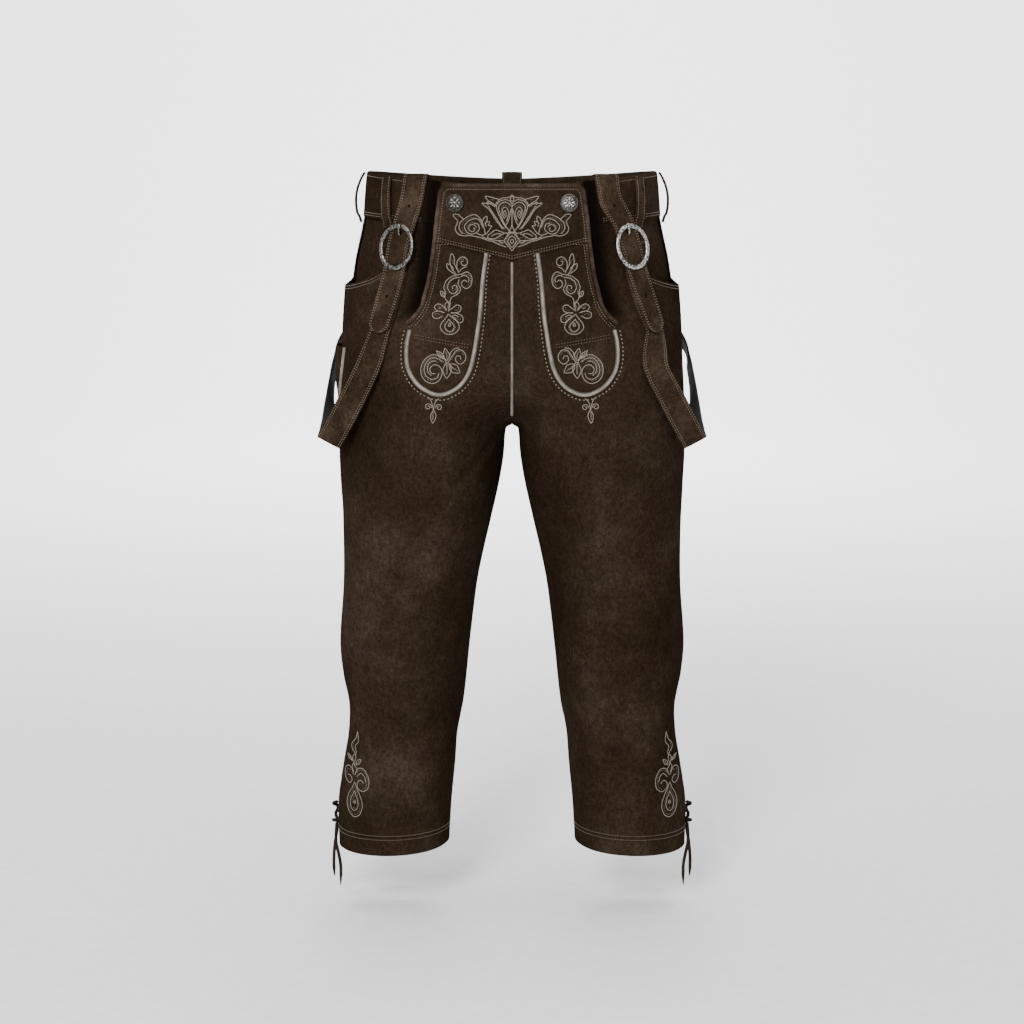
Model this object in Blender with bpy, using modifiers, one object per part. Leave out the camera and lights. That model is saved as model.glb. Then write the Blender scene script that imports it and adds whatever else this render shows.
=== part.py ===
"""Knee breeches of dark suede: a drop front with embroidered tongues, hip pockets and hanging braces.

Metres, +Z up, the front faces -Y and +X is the viewer's right. The origin is the centre of the
waist opening, at half the height of the waistband at the side seams. The garment is filled out as
if it were worn, and every panel is a hollow wall of leather that follows one body surface.
"""
import math

import bmesh
import bpy
from mathutils import Matrix, Vector

# Leather and seams
WALL = 0.0018
BAND_WALL = 0.0030
GAP = 0.0003
BAND_GAP = 0.0006
TONGUE_GAP = 0.0008
SEAM_SHARE = 0.0009
CENTRE_CLEARANCE = 0.0002
BY_THE_MIDDLE = 0.9995

# Heights on the body
WAIST_TOP = 0.0225
WAIST_SEAM = -0.0260
CROTCH = -0.2655
HEM = -0.7565
HEM_SIDE_DROP = 0.0055
HEM_FOLD = -0.7375

# The waist edge dips from the side seams to the middle
FRONT_DIP = 0.0145
BACK_DIP = 0.0100
SEAM_DIP = 0.0100

# The curve of the seat and front seam into the crotch
FRONT_RISE = 0.070
BACK_RISE = 0.100
GAP_ROUNDING = 0.006
FRONT_SPLIT_TOP = -0.080
BACK_SPLIT_TOP = -0.040
ROUNDNESS = 0.57
SIDE_FULLNESS = 0.60
FRONT_FULLNESS = 0.70

# Drop front
FLAP_LIFT = 0.0042
SLIT_END = -0.1420
YOKE_LOW = -0.0725
YOKE_SIDE_RISE = 0.0195
YOKE_HALF = 0.083
YOKE_TOP = 0.0105
YOKE_CORNER = 0.012

# Straps and hardware
STRAP_WIDTH = 0.0300
STRAP_WALL = 0.0020
STRAP_HOLLOW = 0.0015
RING_WIDTH = 0.0460
RING_HEIGHT = 0.0515
RING_BAND = 0.0052
RING_THICKNESS = 0.0024
BUTTON_RADIUS = 0.0100
BUTTON_HEIGHT = 0.0034
BUTTON_X = 0.0615
BUTTON_Z = -0.0100
STRAP_BUTTON_RADIUS = 0.0075
STRAP_BUTTON_HEIGHT = 0.0028
THONG_RADIUS = 0.0021
LOOP_EDGE_REACH = 0.0085

BODY_COLUMNS = ("z", "half_width", "front", "back")
BODY = (
    (0.035, 0.1625, 0.1095, 0.1080),
    (0.0225, 0.1637, 0.1110, 0.1100),
    (-0.028, 0.1685, 0.1165, 0.1180),
    (-0.077, 0.1788, 0.1215, 0.1290),
    (-0.123, 0.1855, 0.1240, 0.1380),
    (-0.170, 0.1930, 0.1250, 0.1430),
    (-0.215, 0.1972, 0.1240, 0.1400),
    (-0.296, 0.1990, 0.1200, 0.1255),
    (-0.378, 0.1956, 0.1130, 0.1130),
    (-0.448, 0.1957, 0.1040, 0.1040),
    (-0.520, 0.2005, 0.0945, 0.0960),
    (-0.555, 0.1980, 0.0900, 0.0910),
    (-0.591, 0.1908, 0.0850, 0.0850),
    (-0.627, 0.1916, 0.0810, 0.0790),
    (-0.664, 0.1978, 0.0780, 0.0750),
    (-0.712, 0.2044, 0.0750, 0.0720),
    (-0.765, 0.2038, 0.0740, 0.0710),
)

GAP_COLUMNS = ("z", "half_gap")
LEG_GAP = (
    (-0.2655, 0.0058),
    (-0.296, 0.0088),
    (-0.331, 0.0145),
    (-0.378, 0.0250),
    (-0.413, 0.0332),
    (-0.448, 0.0402),
    (-0.484, 0.0450),
    (-0.520, 0.0491),
    (-0.591, 0.0569),
    (-0.627, 0.0638),
    (-0.664, 0.0668),
    (-0.712, 0.0714),
    (-0.765, 0.0744),
)

MOUTH_COLUMNS = ("z", "x")
POCKET_MOUTH = (
    (-0.0290, 0.1185),
    (-0.0450, 0.1240),
    (-0.0620, 0.1300),
    (-0.0760, 0.1370),
    (-0.0860, 0.1460),
    (-0.0930, 0.1570),
    (-0.0980, 0.1680),
    (-0.1030, 0.1790),
    (-0.1070, 0.1900),
)

FLAP_COLUMNS = ("z", "x")
FLAP_EDGE = (
    (0.0200, 0.0780),
    (0.0050, 0.0795),
    (-0.0300, 0.0835),
    (-0.0550, 0.0860),
    (-0.0890, 0.0910),
    (-0.1110, 0.0965),
    (-0.1230, 0.1000),
    (-0.1325, 0.1065),
    (-0.1380, 0.1120),
    (-0.1420, 0.1175),
)

# Columns: z, inner, outer
TONGUE = (
    (-0.0640, 0.0305, 0.0812),
    (-0.0935, 0.0346, 0.0862),
    (-0.1200, 0.0368, 0.0935),
    (-0.1360, 0.0385, 0.1030),
    (-0.1500, 0.0408, 0.1095),
    (-0.1640, 0.0430, 0.1125),
    (-0.1790, 0.0460, 0.1130),
    (-0.1900, 0.0490, 0.1110),
    (-0.2000, 0.0540, 0.1060),
    (-0.2080, 0.0610, 0.0990),
    (-0.2130, 0.0690, 0.0910),
    (-0.2155, 0.0750, 0.0850),
)

BILLET_COLUMNS = ("z", "left", "right", "lift")
BILLET = (
    (-0.0050, 0.1090, 0.1070, 0.0027),
    (-0.0220, 0.1130, 0.1150, 0.0042),
    (-0.0350, 0.1162, 0.1205, 0.0058),
    (-0.0580, 0.1222, 0.1275, 0.0068),
    (-0.0820, 0.1268, 0.1345, 0.0054),
    (-0.1050, 0.1322, 0.1415, 0.0060),
    (-0.1300, 0.1390, 0.1495, 0.0066),
    (-0.1545, 0.1462, 0.1570, 0.0066),
)
RING_ROW = 3

# Columns: name, face, x, width, bow
BELT_LOOPS = (
    ("front_left", "front", -0.1360, 0.0145, 0.0030),
    ("front_right", "front", 0.1385, 0.0145, 0.0030),
    ("side_left", "side", -1.0, 0.0150, 0.0080),
    ("side_right", "side", 1.0, 0.0150, 0.0080),
    ("back_left", "back", -0.0950, 0.0150, 0.0045),
    ("back_right", "back", 0.0950, 0.0150, 0.0045),
)

# Columns: name, colour, roughness, metallic
MATERIALS = (
    ("suede", (0.045, 0.031, 0.023), 0.95, 0.0),
    ("flap_suede", (0.038, 0.026, 0.019), 0.95, 0.0),
    ("strap_leather", (0.036, 0.025, 0.018), 0.80, 0.0),
    ("piping", (0.36, 0.33, 0.29), 0.95, 0.0),
    ("thong", (0.030, 0.022, 0.017), 0.75, 0.0),
    ("antique_silver", (0.55, 0.53, 0.50), 0.35, 1.0),
)


def clear_scene():
    """Remove everything that the file holds, so that the part stands alone."""
    for thing in list(bpy.data.objects):
        bpy.data.objects.remove(thing, do_unlink=True)


def make_materials():
    """Return the leather, piping and metal materials by name."""
    made = {}
    for name, colour, roughness, metallic in MATERIALS:
        material = bpy.data.materials.new(name)
        material.use_nodes = True
        shader = material.node_tree.nodes["Principled BSDF"]
        shader.inputs["Base Color"].default_value = (*colour, 1.0)
        shader.inputs["Roughness"].default_value = roughness
        shader.inputs["Metallic"].default_value = metallic
        material.diffuse_color = (*colour, 1.0)
        made[name] = material
    return made


def smooth(share):
    """Ease a share from 0 to 1, and hold it outside that range."""
    share = min(1.0, max(0.0, share))
    return share * share * (3.0 - 2.0 * share)


def mix(low, high, share):
    """Return the value that lies the given share of the way from low to high."""
    return low + (high - low) * share


def column(table, names, name, key):
    """Read a column of a table at any key in its first column, along a smooth curve."""
    place = names.index(name)
    rows = table if table[0][0] < table[-1][0] else table[::-1]
    key = min(rows[-1][0], max(rows[0][0], key))
    at = 0
    while at < len(rows) - 2 and key > rows[at + 1][0]:
        at += 1
    low, high = rows[at], rows[at + 1]
    before = rows[max(at - 1, 0)]
    after = rows[min(at + 2, len(rows) - 1)]
    span = high[0] - low[0]
    slope_low = (high[place] - before[place]) / (high[0] - before[0]) * span
    slope_high = (after[place] - low[place]) / (after[0] - low[0]) * span
    t = (key - low[0]) / span
    return (
        low[place] * (2 * t**3 - 3 * t**2 + 1)
        + slope_low * (t**3 - 2 * t**2 + t)
        + high[place] * (3 * t**2 - 2 * t**3)
        + slope_high * (t**3 - t**2)
    )


def soft_gap(z):
    """Return how far the leg's crown has moved out to make room for the gap."""
    return column(LEG_GAP, GAP_COLUMNS, "half_gap", z) * smooth((-0.185 - z) / 0.110)


def half_gap(z):
    """Return half the gap between the legs, which rounds off into the crotch."""
    below = CROTCH - z
    if below <= 0.0:
        return 0.0
    rounded = math.sqrt(1.0 - (1.0 - min(1.0, below / GAP_ROUNDING)) ** 2)
    return column(LEG_GAP, GAP_COLUMNS, "half_gap", z) * rounded


def bezier(start, pull_start, pull_end, end, t):
    """Return the point at t on a cubic curve."""
    u = 1.0 - t
    return (
        start * u**3 + pull_start * 3 * u * u * t + pull_end * 3 * u * t * t + end * t**3
    )


def ring_point(face, s, z):
    """Return x and y on the right half of the body's ring at height z.

    s runs from the side seam at 0 to the middle seam or inseam at 1. Above the crotch the ring
    changes from one round torso into two round legs that meet in a valley.
    """
    way = -1.0 if face == "front" else 1.0
    rise = FRONT_RISE if face == "front" else BACK_RISE
    split_top = FRONT_SPLIT_TOP if face == "front" else BACK_SPLIT_TOP
    half = column(BODY, BODY_COLUMNS, "half_width", z)
    depth = column(BODY, BODY_COLUMNS, face, z)
    inner = half_gap(z)
    climb = min(1.0, max(0.0, z - CROTCH) / rise)
    reach = math.sqrt(1.0 - (1.0 - climb) ** 2)
    side = Vector((half, 0.0))
    middle = Vector((inner, way * depth * reach))
    torso = bezier(
        side,
        side + Vector((0.0, way * depth * SIDE_FULLNESS)),
        Vector((half * FRONT_FULLNESS, way * depth)),
        Vector((0.0, way * depth)),
        s,
    )
    spread_out = soft_gap(z)
    crown = Vector((mix(spread_out, half, 0.5), way * depth))
    arm = (half - spread_out) * 0.5 * ROUNDNESS
    if s < 0.5:
        leg = bezier(
            side,
            side + Vector((0.0, way * depth * ROUNDNESS)),
            crown + Vector((arm, 0.0)),
            crown,
            s * 2.0,
        )
    else:
        valley = depth * (1.0 - reach)
        pull = Vector((arm * reach, way * valley * ROUNDNESS * (1.0 - reach)))
        leg = bezier(crown, crown - Vector((arm, 0.0)), middle + pull, middle, s * 2.0 - 1.0)
    split = smooth((split_top - z) / (split_top - CROTCH - rise))
    return torso.lerp(leg, split)


def pocket_swell(face, s, z):
    """Return how far the leather gapes below the hip pocket's mouth."""
    if z < -0.21 or s > 0.5:
        return 0.0
    across = 1.0 - smooth(s / (0.42 if face == "front" else 0.20))
    below = smooth((z + 0.205) / 0.105)
    if face == "front":
        above_mouth = 1.0 - smooth((z + 0.085) / 0.025)
    else:
        above_mouth = 1.0 - smooth((z + 0.108) / 0.012)
    return 0.0078 * across * below * above_mouth


def flap_lift(x, z):
    """Return how far the drop front stands off the body at x and z."""
    rise = smooth((z + 0.182) / 0.058)
    beside = 1.0 if z > SLIT_END else smooth((0.130 - x) / 0.035)
    return FLAP_LIFT * rise * beside


# Columns: face, s, z, s_spread, z_spread, slope, depth
CREASES = (
    ("front", 0.80, -0.300, 0.24, 0.030, 0.10, -0.0018),
    ("front", 0.70, -0.370, 0.26, 0.030, 0.12, -0.0014),
    ("front", 0.30, -0.560, 0.24, 0.020, -0.06, -0.0018),
    ("front", 0.62, -0.610, 0.26, 0.018, 0.07, -0.0016),
    ("back", 0.70, -0.300, 0.26, 0.018, 0.08, -0.0030),
    ("back", 0.45, -0.560, 0.34, 0.018, 0.05, -0.0030),
    ("back", 0.50, -0.600, 0.34, 0.018, -0.05, -0.0034),
    ("back", 0.40, -0.645, 0.30, 0.018, 0.04, -0.0022),
)


def crease_depth(face, s, z):
    """Add up the soft troughs that cross the given spot."""
    total = 0.0
    for crease_face, at_s, at_z, wide, tall, slope, depth in CREASES:
        if crease_face == face:
            along = (s - at_s) / wide
            across = (z - at_z - slope * (s - at_s)) / tall
            total += depth * math.exp(-along * along - across * across)
    return total


def body_point(face, s, z):
    """Return the body surface on the right half, with no lift."""
    x, y = ring_point(face, s, z)
    return Vector((x, y, z))


def skin(face, s, z, lift=0.0):
    """Return a point above the right half of the body surface, and the outward normal there."""
    step_s = 0.004 if s < 0.5 else -0.004
    step_z = 0.003
    along = (body_point(face, s + step_s, z) - body_point(face, s, z)) / step_s
    up = body_point(face, s, z + step_z) - body_point(face, s, z - step_z)
    normal = along.cross(up) if face == "back" else up.cross(along)
    normal.normalize()
    lift += pocket_swell(face, s, z) + crease_depth(face, s, z)
    return body_point(face, s, z) + normal * lift, normal


def mirrored(vector, side):
    """Return the vector on the side that is asked for."""
    return Vector((vector.x * side, vector.y, vector.z))


def s_at(face, x, z):
    """Return the place on the ring whose distance from the middle is x."""
    low, high = 0.0, 1.0
    for _ in range(26):
        middle = (low + high) / 2.0
        if ring_point(face, middle, z).x > x:
            low = middle
        else:
            high = middle
    return (low + high) / 2.0


def above(face, x, z, lift=0.0):
    """Return a point and normal above the front or back, at any x."""
    side = -1.0 if x < 0.0 else 1.0
    point, normal = skin(face, s_at(face, abs(x), z), z, lift)
    return mirrored(point, side), mirrored(normal, side)


def on_flap(x, z, lift):
    """Return a point and normal above the drop front and what it covers."""
    return above("front", x, z, lift + flap_lift(abs(x), z))


def waist_top(face, x):
    """Return the height of the waistband's top edge."""
    dip = FRONT_DIP if face == "front" else BACK_DIP
    return WAIST_TOP - dip * (1.0 - min(1.0, abs(x) / 0.1645) ** 1.5)


def waist_seam(x):
    """Return the height of the seam below the waistband."""
    return WAIST_SEAM - SEAM_DIP * (1.0 - min(1.0, abs(x) / 0.1693) ** 1.5)


def yoke_seam(x):
    """Return the height of the seam below the yoke, which is a shallow V."""
    return YOKE_LOW + YOKE_SIDE_RISE * abs(x) / YOKE_HALF


def spline(points, count):
    """Return evenly spaced points on a smooth curve through the given ones."""
    points = [Vector(point) for point in points]
    ends = [points[0] * 2 - points[1], *points, points[-1] * 2 - points[-2]]
    fine = []
    for a, b, c, d in zip(ends, ends[1:], ends[2:], ends[3:]):
        for step in range(16):
            t = step / 16.0
            fine.append(
                (b * 2 + (c - a) * t + (a * 2 - b * 5 + c * 4 - d) * t * t
                 + (b * 3 - a - c * 3 + d) * t**3) * 0.5
            )
    fine.append(points[-1])
    lengths = [0.0]
    for start, end in zip(fine, fine[1:]):
        lengths.append(lengths[-1] + (end - start).length)
    even = []
    at = 0
    for index in range(count):
        goal = lengths[-1] * index / (count - 1)
        while at < len(fine) - 2 and lengths[at + 1] < goal:
            at += 1
        span = max(lengths[at + 1] - lengths[at], 1e-9)
        even.append(fine[at].lerp(fine[at + 1], min(1.0, (goal - lengths[at]) / span)))
    return even


class Builder:
    """Makes the objects of the part and keeps them in one collection."""

    def __init__(self):
        self.collection = bpy.data.collections.new("knee_breeches")
        self.cutters = bpy.data.collections.new("cutters")
        bpy.context.scene.collection.children.link(self.collection)
        bpy.context.scene.collection.children.link(self.cutters)
        self.materials = make_materials()

    def add(self, name, data, material):
        """Place a mesh or curve in the part under its node's name."""
        thing = bpy.data.objects.new(name, data)
        data.materials.clear()
        data.materials.append(self.materials[material])
        self.collection.objects.link(thing)
        return thing

    def shell(self, name, outer, inner, material, keep=None):
        """Close a grid of outer points and the matching inner ones into one wall.

        keep says which cells of the grid are leather. Each open side of those gets an edge face.
        """
        form = bmesh.new()
        corners = {}

        def corner(layer, grid, place):
            if (layer, place) not in corners:
                corners[(layer, place)] = form.verts.new(grid[place[0]][place[1]])
            return corners[(layer, place)]

        borders = {}
        for i in range(len(outer) - 1):
            for j in range(len(outer[0]) - 1):
                if keep and not keep(i, j):
                    continue
                loop = ((i, j), (i, j + 1), (i + 1, j + 1), (i + 1, j))
                form.faces.new([corner(0, outer, place) for place in loop])
                form.faces.new([corner(1, inner, place) for place in reversed(loop)])
                for start, end in zip(loop, loop[1:] + loop[:1]):
                    if (end, start) in borders:
                        del borders[(end, start)]
                    else:
                        borders[(start, end)] = True
        for start, end in borders:
            form.faces.new((
                corner(0, outer, end),
                corner(0, outer, start),
                corner(1, inner, start),
                corner(1, inner, end),
            ))
        bmesh.ops.recalc_face_normals(form, faces=form.faces)
        mesh = bpy.data.meshes.new(name)
        form.to_mesh(mesh)
        form.free()
        mesh.shade_smooth()
        mesh.set_sharp_from_angle(angle=math.radians(40))
        return self.add(name, mesh, material)

    def sweep(self, name, frames, profile, material):
        """Sweep a closed profile along frames of centre, sideways and outward vectors."""
        form = bmesh.new()
        rings = []
        for centre, across, out in frames:
            shape = profile(len(rings)) if callable(profile) else profile
            rings.append([form.verts.new(centre + across * a + out * b) for a, b in shape])
        count = len(rings[0])
        for ring, following in zip(rings, rings[1:]):
            for k in range(count):
                after = (k + 1) % count
                form.faces.new((ring[k], ring[after], following[after], following[k]))
        form.faces.new(rings[0])
        form.faces.new(rings[-1])
        bmesh.ops.recalc_face_normals(form, faces=form.faces)
        mesh = bpy.data.meshes.new(name)
        form.to_mesh(mesh)
        form.free()
        mesh.shade_smooth()
        mesh.set_sharp_from_angle(angle=math.radians(40))
        return self.add(name, mesh, material)

    def tube(self, name, points, radius, material, tapers=None, resolution=2):
        """Make a round cord along points, with filled caps."""
        curve = bpy.data.curves.new(name, "CURVE")
        curve.dimensions = "3D"
        curve.bevel_depth = radius
        curve.bevel_resolution = resolution
        curve.use_fill_caps = True
        line = curve.splines.new("POLY")
        line.points.add(len(points) - 1)
        for index, point in enumerate(points):
            line.points[index].co = (*point, 1.0)
            line.points[index].radius = tapers[index] if tapers else 1.0
        return self.add(name, curve, material)

    def meshed(self, thing):
        """Turn a curve object into a closed mesh object that can be cut or joined."""
        name = thing.name
        material = thing.data.materials[0]
        depsgraph = bpy.context.evaluated_depsgraph_get()
        mesh = bpy.data.meshes.new_from_object(thing.evaluated_get(depsgraph))
        form = bmesh.new()
        form.from_mesh(mesh)
        bmesh.ops.remove_doubles(form, verts=form.verts, dist=0.00001)
        bmesh.ops.recalc_face_normals(form, faces=form.faces)
        form.to_mesh(mesh)
        form.free()
        placed = thing.matrix_world.copy()
        bpy.data.objects.remove(thing, do_unlink=True)
        solid = bpy.data.objects.new(name, mesh)
        solid.name = name
        solid.matrix_world = placed
        mesh.materials.clear()
        mesh.materials.append(material)
        self.collection.objects.link(solid)
        return solid

    def boolean(self, thing, tool, operation):
        """Cut or join a hidden tool into an object."""
        for holder in list(tool.users_collection):
            holder.objects.unlink(tool)
        self.cutters.objects.link(tool)
        tool.hide_render = True
        tool.display_type = "WIRE"
        change = thing.modifiers.new(operation.lower(), "BOOLEAN")
        change.object = tool
        change.operation = operation
        change.solver = "EXACT"


def clear_of_middle(point, side):
    """Keep a point on its own side of the middle seam."""
    if point.x * side < CENTRE_CLEARANCE:
        point = Vector((CENTRE_CLEARANCE * side, point.y, point.z))
    return point


def wall_points(face, side, s, z, lift, wall):
    """Return the outer and inner points of a panel's wall."""
    point, normal = skin(face, s, z, lift)
    outer = mirrored(point, side)
    inner = mirrored(point - normal * wall, side)
    return clear_of_middle(outer, side), clear_of_middle(inner, side)


def hem_drop(s, z):
    """Return how far a point near the hem sinks towards the side seam."""
    return HEM_SIDE_DROP * (1.0 - s) ** 2 * smooth((-0.70 - z) / (-0.70 - HEM))


LEG_ROWS = (
    -0.1500, -0.1640, -0.1790, -0.1900, -0.2000, -0.2080, -0.2160, -0.2335, -0.2475, -0.2575,
    -0.2635, CROTCH, -0.2680, -0.2725, -0.2870, -0.3100, -0.3380, -0.3700, -0.4060, -0.4450,
    -0.4850, -0.5200, -0.5460, -0.5680, -0.5900, -0.6130, -0.6370, -0.6650, -0.6950, -0.7180,
    -0.7365, -0.7385, HEM,
)
HIP_ROWS = (
    -0.0290, -0.0450, -0.0620, -0.0760, -0.0860, -0.0930, -0.0980, -0.1030, -0.1070,
    -0.1160, -0.1250, -0.1325, -0.1380, SLIT_END,
)
HIP_CELLS = 4
FLAP_CELLS = 5
FLAP_LEVEL_X = 0.04
SLIT_OVERLAP = 0.012
VENT_TOP = -0.690
VENT_HALF = 0.0016


def side_start(face, z):
    """Return where a panel starts beside the side seam, which opens into a vent at the knee."""
    open_share = smooth((VENT_TOP - z) / 0.05)
    return SEAM_SHARE + open_share * VENT_HALF / 0.24


def front_panel(builder, name, side):
    """Make a leg's front with the hip part, and the half of the drop front beyond the slit."""
    outer, inner = [], []
    for index, level in enumerate(HIP_ROWS + LEG_ROWS):
        hip_share = min(1.0, index / (len(HIP_ROWS) - 1))
        flap_z = mix(yoke_seam(FLAP_LEVEL_X), SLIT_END, hip_share) if index < len(HIP_ROWS) else level
        if level > -0.1069:
            start = s_at("front", column(POCKET_MOUTH, MOUTH_COLUMNS, "x", level), level)
        else:
            start = side_start("front", level)
        if index < len(HIP_ROWS):
            slit_here = column(FLAP_EDGE, FLAP_COLUMNS, "x", level)
            slit_flap = column(FLAP_EDGE, FLAP_COLUMNS, "x", flap_z)
            under = SLIT_OVERLAP * smooth((level - SLIT_END - 0.006) / 0.02) - 0.0006
            hip_end = s_at("front", slit_here - under, level)
            flap_start = s_at("front", slit_flap, flap_z)
        else:
            settle = smooth((SLIT_END - level) / 0.10)
            hip_end = mix(s_at("front", 0.1215, SLIT_END), 0.42, settle)
            flap_start = mix(s_at("front", 0.1120, SLIT_END), 0.54, settle)
        outer_row, inner_row = [], []
        for j in range(HIP_CELLS + 1):
            s = mix(start, hip_end, j / HIP_CELLS)
            x = ring_point("front", s, level).x
            z = level + (waist_seam(x) - BAND_GAP - HIP_ROWS[0]) * (1.0 - min(1.0, index / 4.0)) ** 2
            if index >= len(HIP_ROWS):
                z -= hem_drop(s, level)
            lift = flap_lift(x, z) if z < SLIT_END else 0.0
            a, b = wall_points("front", side, s, z, lift, fold_wall(z))
            outer_row.append(a)
            inner_row.append(b)
        for j in range(FLAP_CELLS + 1):
            s = mix(flap_start, 1.0 - SEAM_SHARE, j / FLAP_CELLS)
            x = ring_point("front", s, flap_z).x
            z = flap_z
            if index < len(HIP_ROWS):
                z += (yoke_seam(x) - yoke_seam(FLAP_LEVEL_X) - GAP * 2.0) * (1.0 - hip_share) ** 2
            else:
                z -= hem_drop(s, level)
            a, b = wall_points("front", side, s, z, flap_lift(x, z), fold_wall(z))
            outer_row.append(a)
            inner_row.append(b)
        outer.append(outer_row)
        inner.append(inner_row)
    slit_rows = len(HIP_ROWS) - 1
    builder.shell(name, outer, inner, "suede", lambda i, j: i >= slit_rows or j != HIP_CELLS)


def fold_wall(z):
    """Return the wall's thickness, which the turned-up hem doubles."""
    return WALL * 1.8 if z < HEM_FOLD else WALL


BACK_ROWS = (
    -0.0290, -0.0450, -0.0620, -0.0800, -0.0960, -0.1070, -0.1160, -0.1330, -0.1490, -0.1660,
    -0.1830, -0.1980, -0.2110, -0.2300, -0.2450, -0.2560, -0.2630,
)
BACK_CELLS = 8


def back_panel(builder, name, side):
    """Make a leg's back with its half of the seat."""
    levels = BACK_ROWS + LEG_ROWS[LEG_ROWS.index(CROTCH):]
    outer, inner = [], []
    for index, level in enumerate(levels):
        start = side_start("back", level)
        outer_row, inner_row = [], []
        for j in range(BACK_CELLS + 1):
            s = mix(start, 1.0 - SEAM_SHARE, j / BACK_CELLS)
            x = ring_point("back", s, level).x
            z = level + (waist_seam(x) - BAND_GAP - BACK_ROWS[0]) * (1.0 - min(1.0, index / 4.0)) ** 2
            z -= hem_drop(s, level)
            a, b = wall_points("back", side, s, z, 0.0, fold_wall(z))
            outer_row.append(a)
            inner_row.append(b)
        outer.append(outer_row)
        inner.append(inner_row)
    builder.shell(name, outer, inner, "suede")


FACING_ROWS = (-0.0290, -0.0450, -0.0620, -0.0780, -0.0920, -0.1030, -0.1150, -0.1270)
FACING_SET_BACK = 0.0033


def facing(builder, name, side):
    """Make the hip part that shows inside the pocket's mouth, set back from the front."""
    outer, inner = [], []
    for index, level in enumerate(FACING_ROWS):
        mouth = column(POCKET_MOUTH, MOUTH_COLUMNS, "x", max(level, -0.098))
        end = s_at("front", mouth - 0.020, level)
        outer_row, inner_row = [], []
        for j in range(6):
            s = mix(SEAM_SHARE, end, j / 5.0)
            x = ring_point("front", s, level).x
            z = level + (waist_seam(x) - BAND_GAP - FACING_ROWS[0]) * (1.0 - min(1.0, index / 4.0)) ** 2
            deeper = smooth((-0.092 - z) / 0.022)
            lift = -FACING_SET_BACK * (1.0 + 0.5 * deeper) - pocket_swell("front", s, z)
            a, b = wall_points("front", side, s, z, lift, WALL * 0.8)
            outer_row.append(a)
            inner_row.append(b)
        outer.append(outer_row)
        inner.append(inner_row)
    builder.shell(name, outer, inner, "suede")


def band_piece(builder, name, face, sides):
    """Make one piece of the waistband between its end seams."""
    outer, inner = [], []
    stops = []
    for side in sides:
        steps = [mix(SEAM_SHARE, 1.0 - SEAM_SHARE, k / 11.0) for k in range(12)]
        if side < 0.0:
            stops += [(side, s) for s in steps]
        else:
            stops += [(side, s) for s in reversed(steps)]
    if len(sides) == 2:
        stops = [stop for stop in stops if stop[1] < 0.99]
    for share in (0.0, 0.33, 0.67, 1.0):
        outer_row, inner_row = [], []
        for side, s in stops:
            x = ring_point(face, s, 0.0).x
            z = mix(waist_top(face, x), waist_seam(x), share)
            point, normal = skin(face, s, z, 0.0008)
            a = mirrored(point, side)
            b = mirrored(point - normal * BAND_WALL, side)
            if len(sides) == 1:
                a, b = clear_of_middle(a, side), clear_of_middle(b, side)
            outer_row.append(a)
            inner_row.append(b)
        outer.append(outer_row)
        inner.append(inner_row)
    builder.shell(name, outer, inner, "suede")


def yoke(builder):
    """Make the top band of the drop front, with round corners and a shallow V below."""
    shares = (1.0, 0.985, 0.955, 0.91, 0.86, 0.60, 0.30, 0.0)
    stops = [-share for share in shares] + [share for share in reversed(shares[:-1])]
    outer, inner = [], []
    for k in range(6):
        outer_row, inner_row = [], []
        for stop in stops:
            beside = (1.0 - abs(stop)) * YOKE_HALF
            corner = max(0.0, YOKE_CORNER - beside)
            top = YOKE_TOP - YOKE_CORNER + math.sqrt(YOKE_CORNER**2 - corner**2)
            low = yoke_seam(stop * FLAP_EDGE[3][1]) + GAP
            z = mix(top, low, k / 5.0)
            x = stop * column(FLAP_EDGE, FLAP_COLUMNS, "x", z)
            point, normal = on_flap(x, z, 0.0)
            outer_row.append(point)
            inner_row.append(point - normal * WALL)
        outer.append(outer_row)
        inner.append(inner_row)
    builder.shell("flap_yoke", outer, inner, "flap_suede")


TONGUE_WALL = 0.0011
TONGUE_CELLS = 5


def tongue(builder, name, side):
    """Make the U-shaped panel that lies on the drop front and runs on to the leg."""
    outer, inner = [], []
    for index, row in enumerate(TONGUE):
        outer_row, inner_row = [], []
        for j in range(TONGUE_CELLS + 1):
            x = mix(row[1], row[2], j / TONGUE_CELLS)
            z = row[0]
            if index == 0:
                z = yoke_seam(x) - 0.0009
            point, normal = on_flap(x, z, TONGUE_GAP + TONGUE_WALL)
            outer_row.append(mirrored(point, side))
            inner_row.append(mirrored(point - normal * TONGUE_WALL, side))
        outer.append(outer_row)
        inner.append(inner_row)
    builder.shell(name, outer, inner, "flap_suede")


def surface_frames(path, lift_at, count):
    """Return sweep frames along a route of x and z that lies above the front."""
    spots = spline([Vector((x, z, 0.0)) for x, z in path], count)
    centres, normals = [], []
    for spot in spots:
        point, normal = on_flap(spot.x, spot.y, lift_at)
        centres.append(point)
        normals.append(normal)
    return frames_through(centres, normals)


def frames_through(centres, normals):
    """Return sweep frames whose outward vectors stay square to the route."""
    frames = []
    for index, centre in enumerate(centres):
        ahead = centres[min(index + 1, len(centres) - 1)]
        behind = centres[max(index - 1, 0)]
        along = (ahead - behind).normalized()
        out = normals[index] - along * normals[index].dot(along)
        out.normalize()
        frames.append((centre, out.cross(along), out))
    return frames


def bead(width, height):
    """Return the profile of a rounded strip that lies on a surface."""
    half = width / 2.0
    return (
        (-half, 0.0),
        (-half * 0.80, height * 0.65),
        (0.0, height),
        (half * 0.80, height * 0.65),
        (half, 0.0),
    )


PIPING_WIDTH = 0.0048
PIPING_HEIGHT = 0.0022
PIPING_OFF = 0.0030
CENTRE_PIPING = (0.0030, 0.0013)
BINDING = (0.0042, 0.0013)
POCKET_PIPING = (0.0022, 0.0028)


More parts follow.
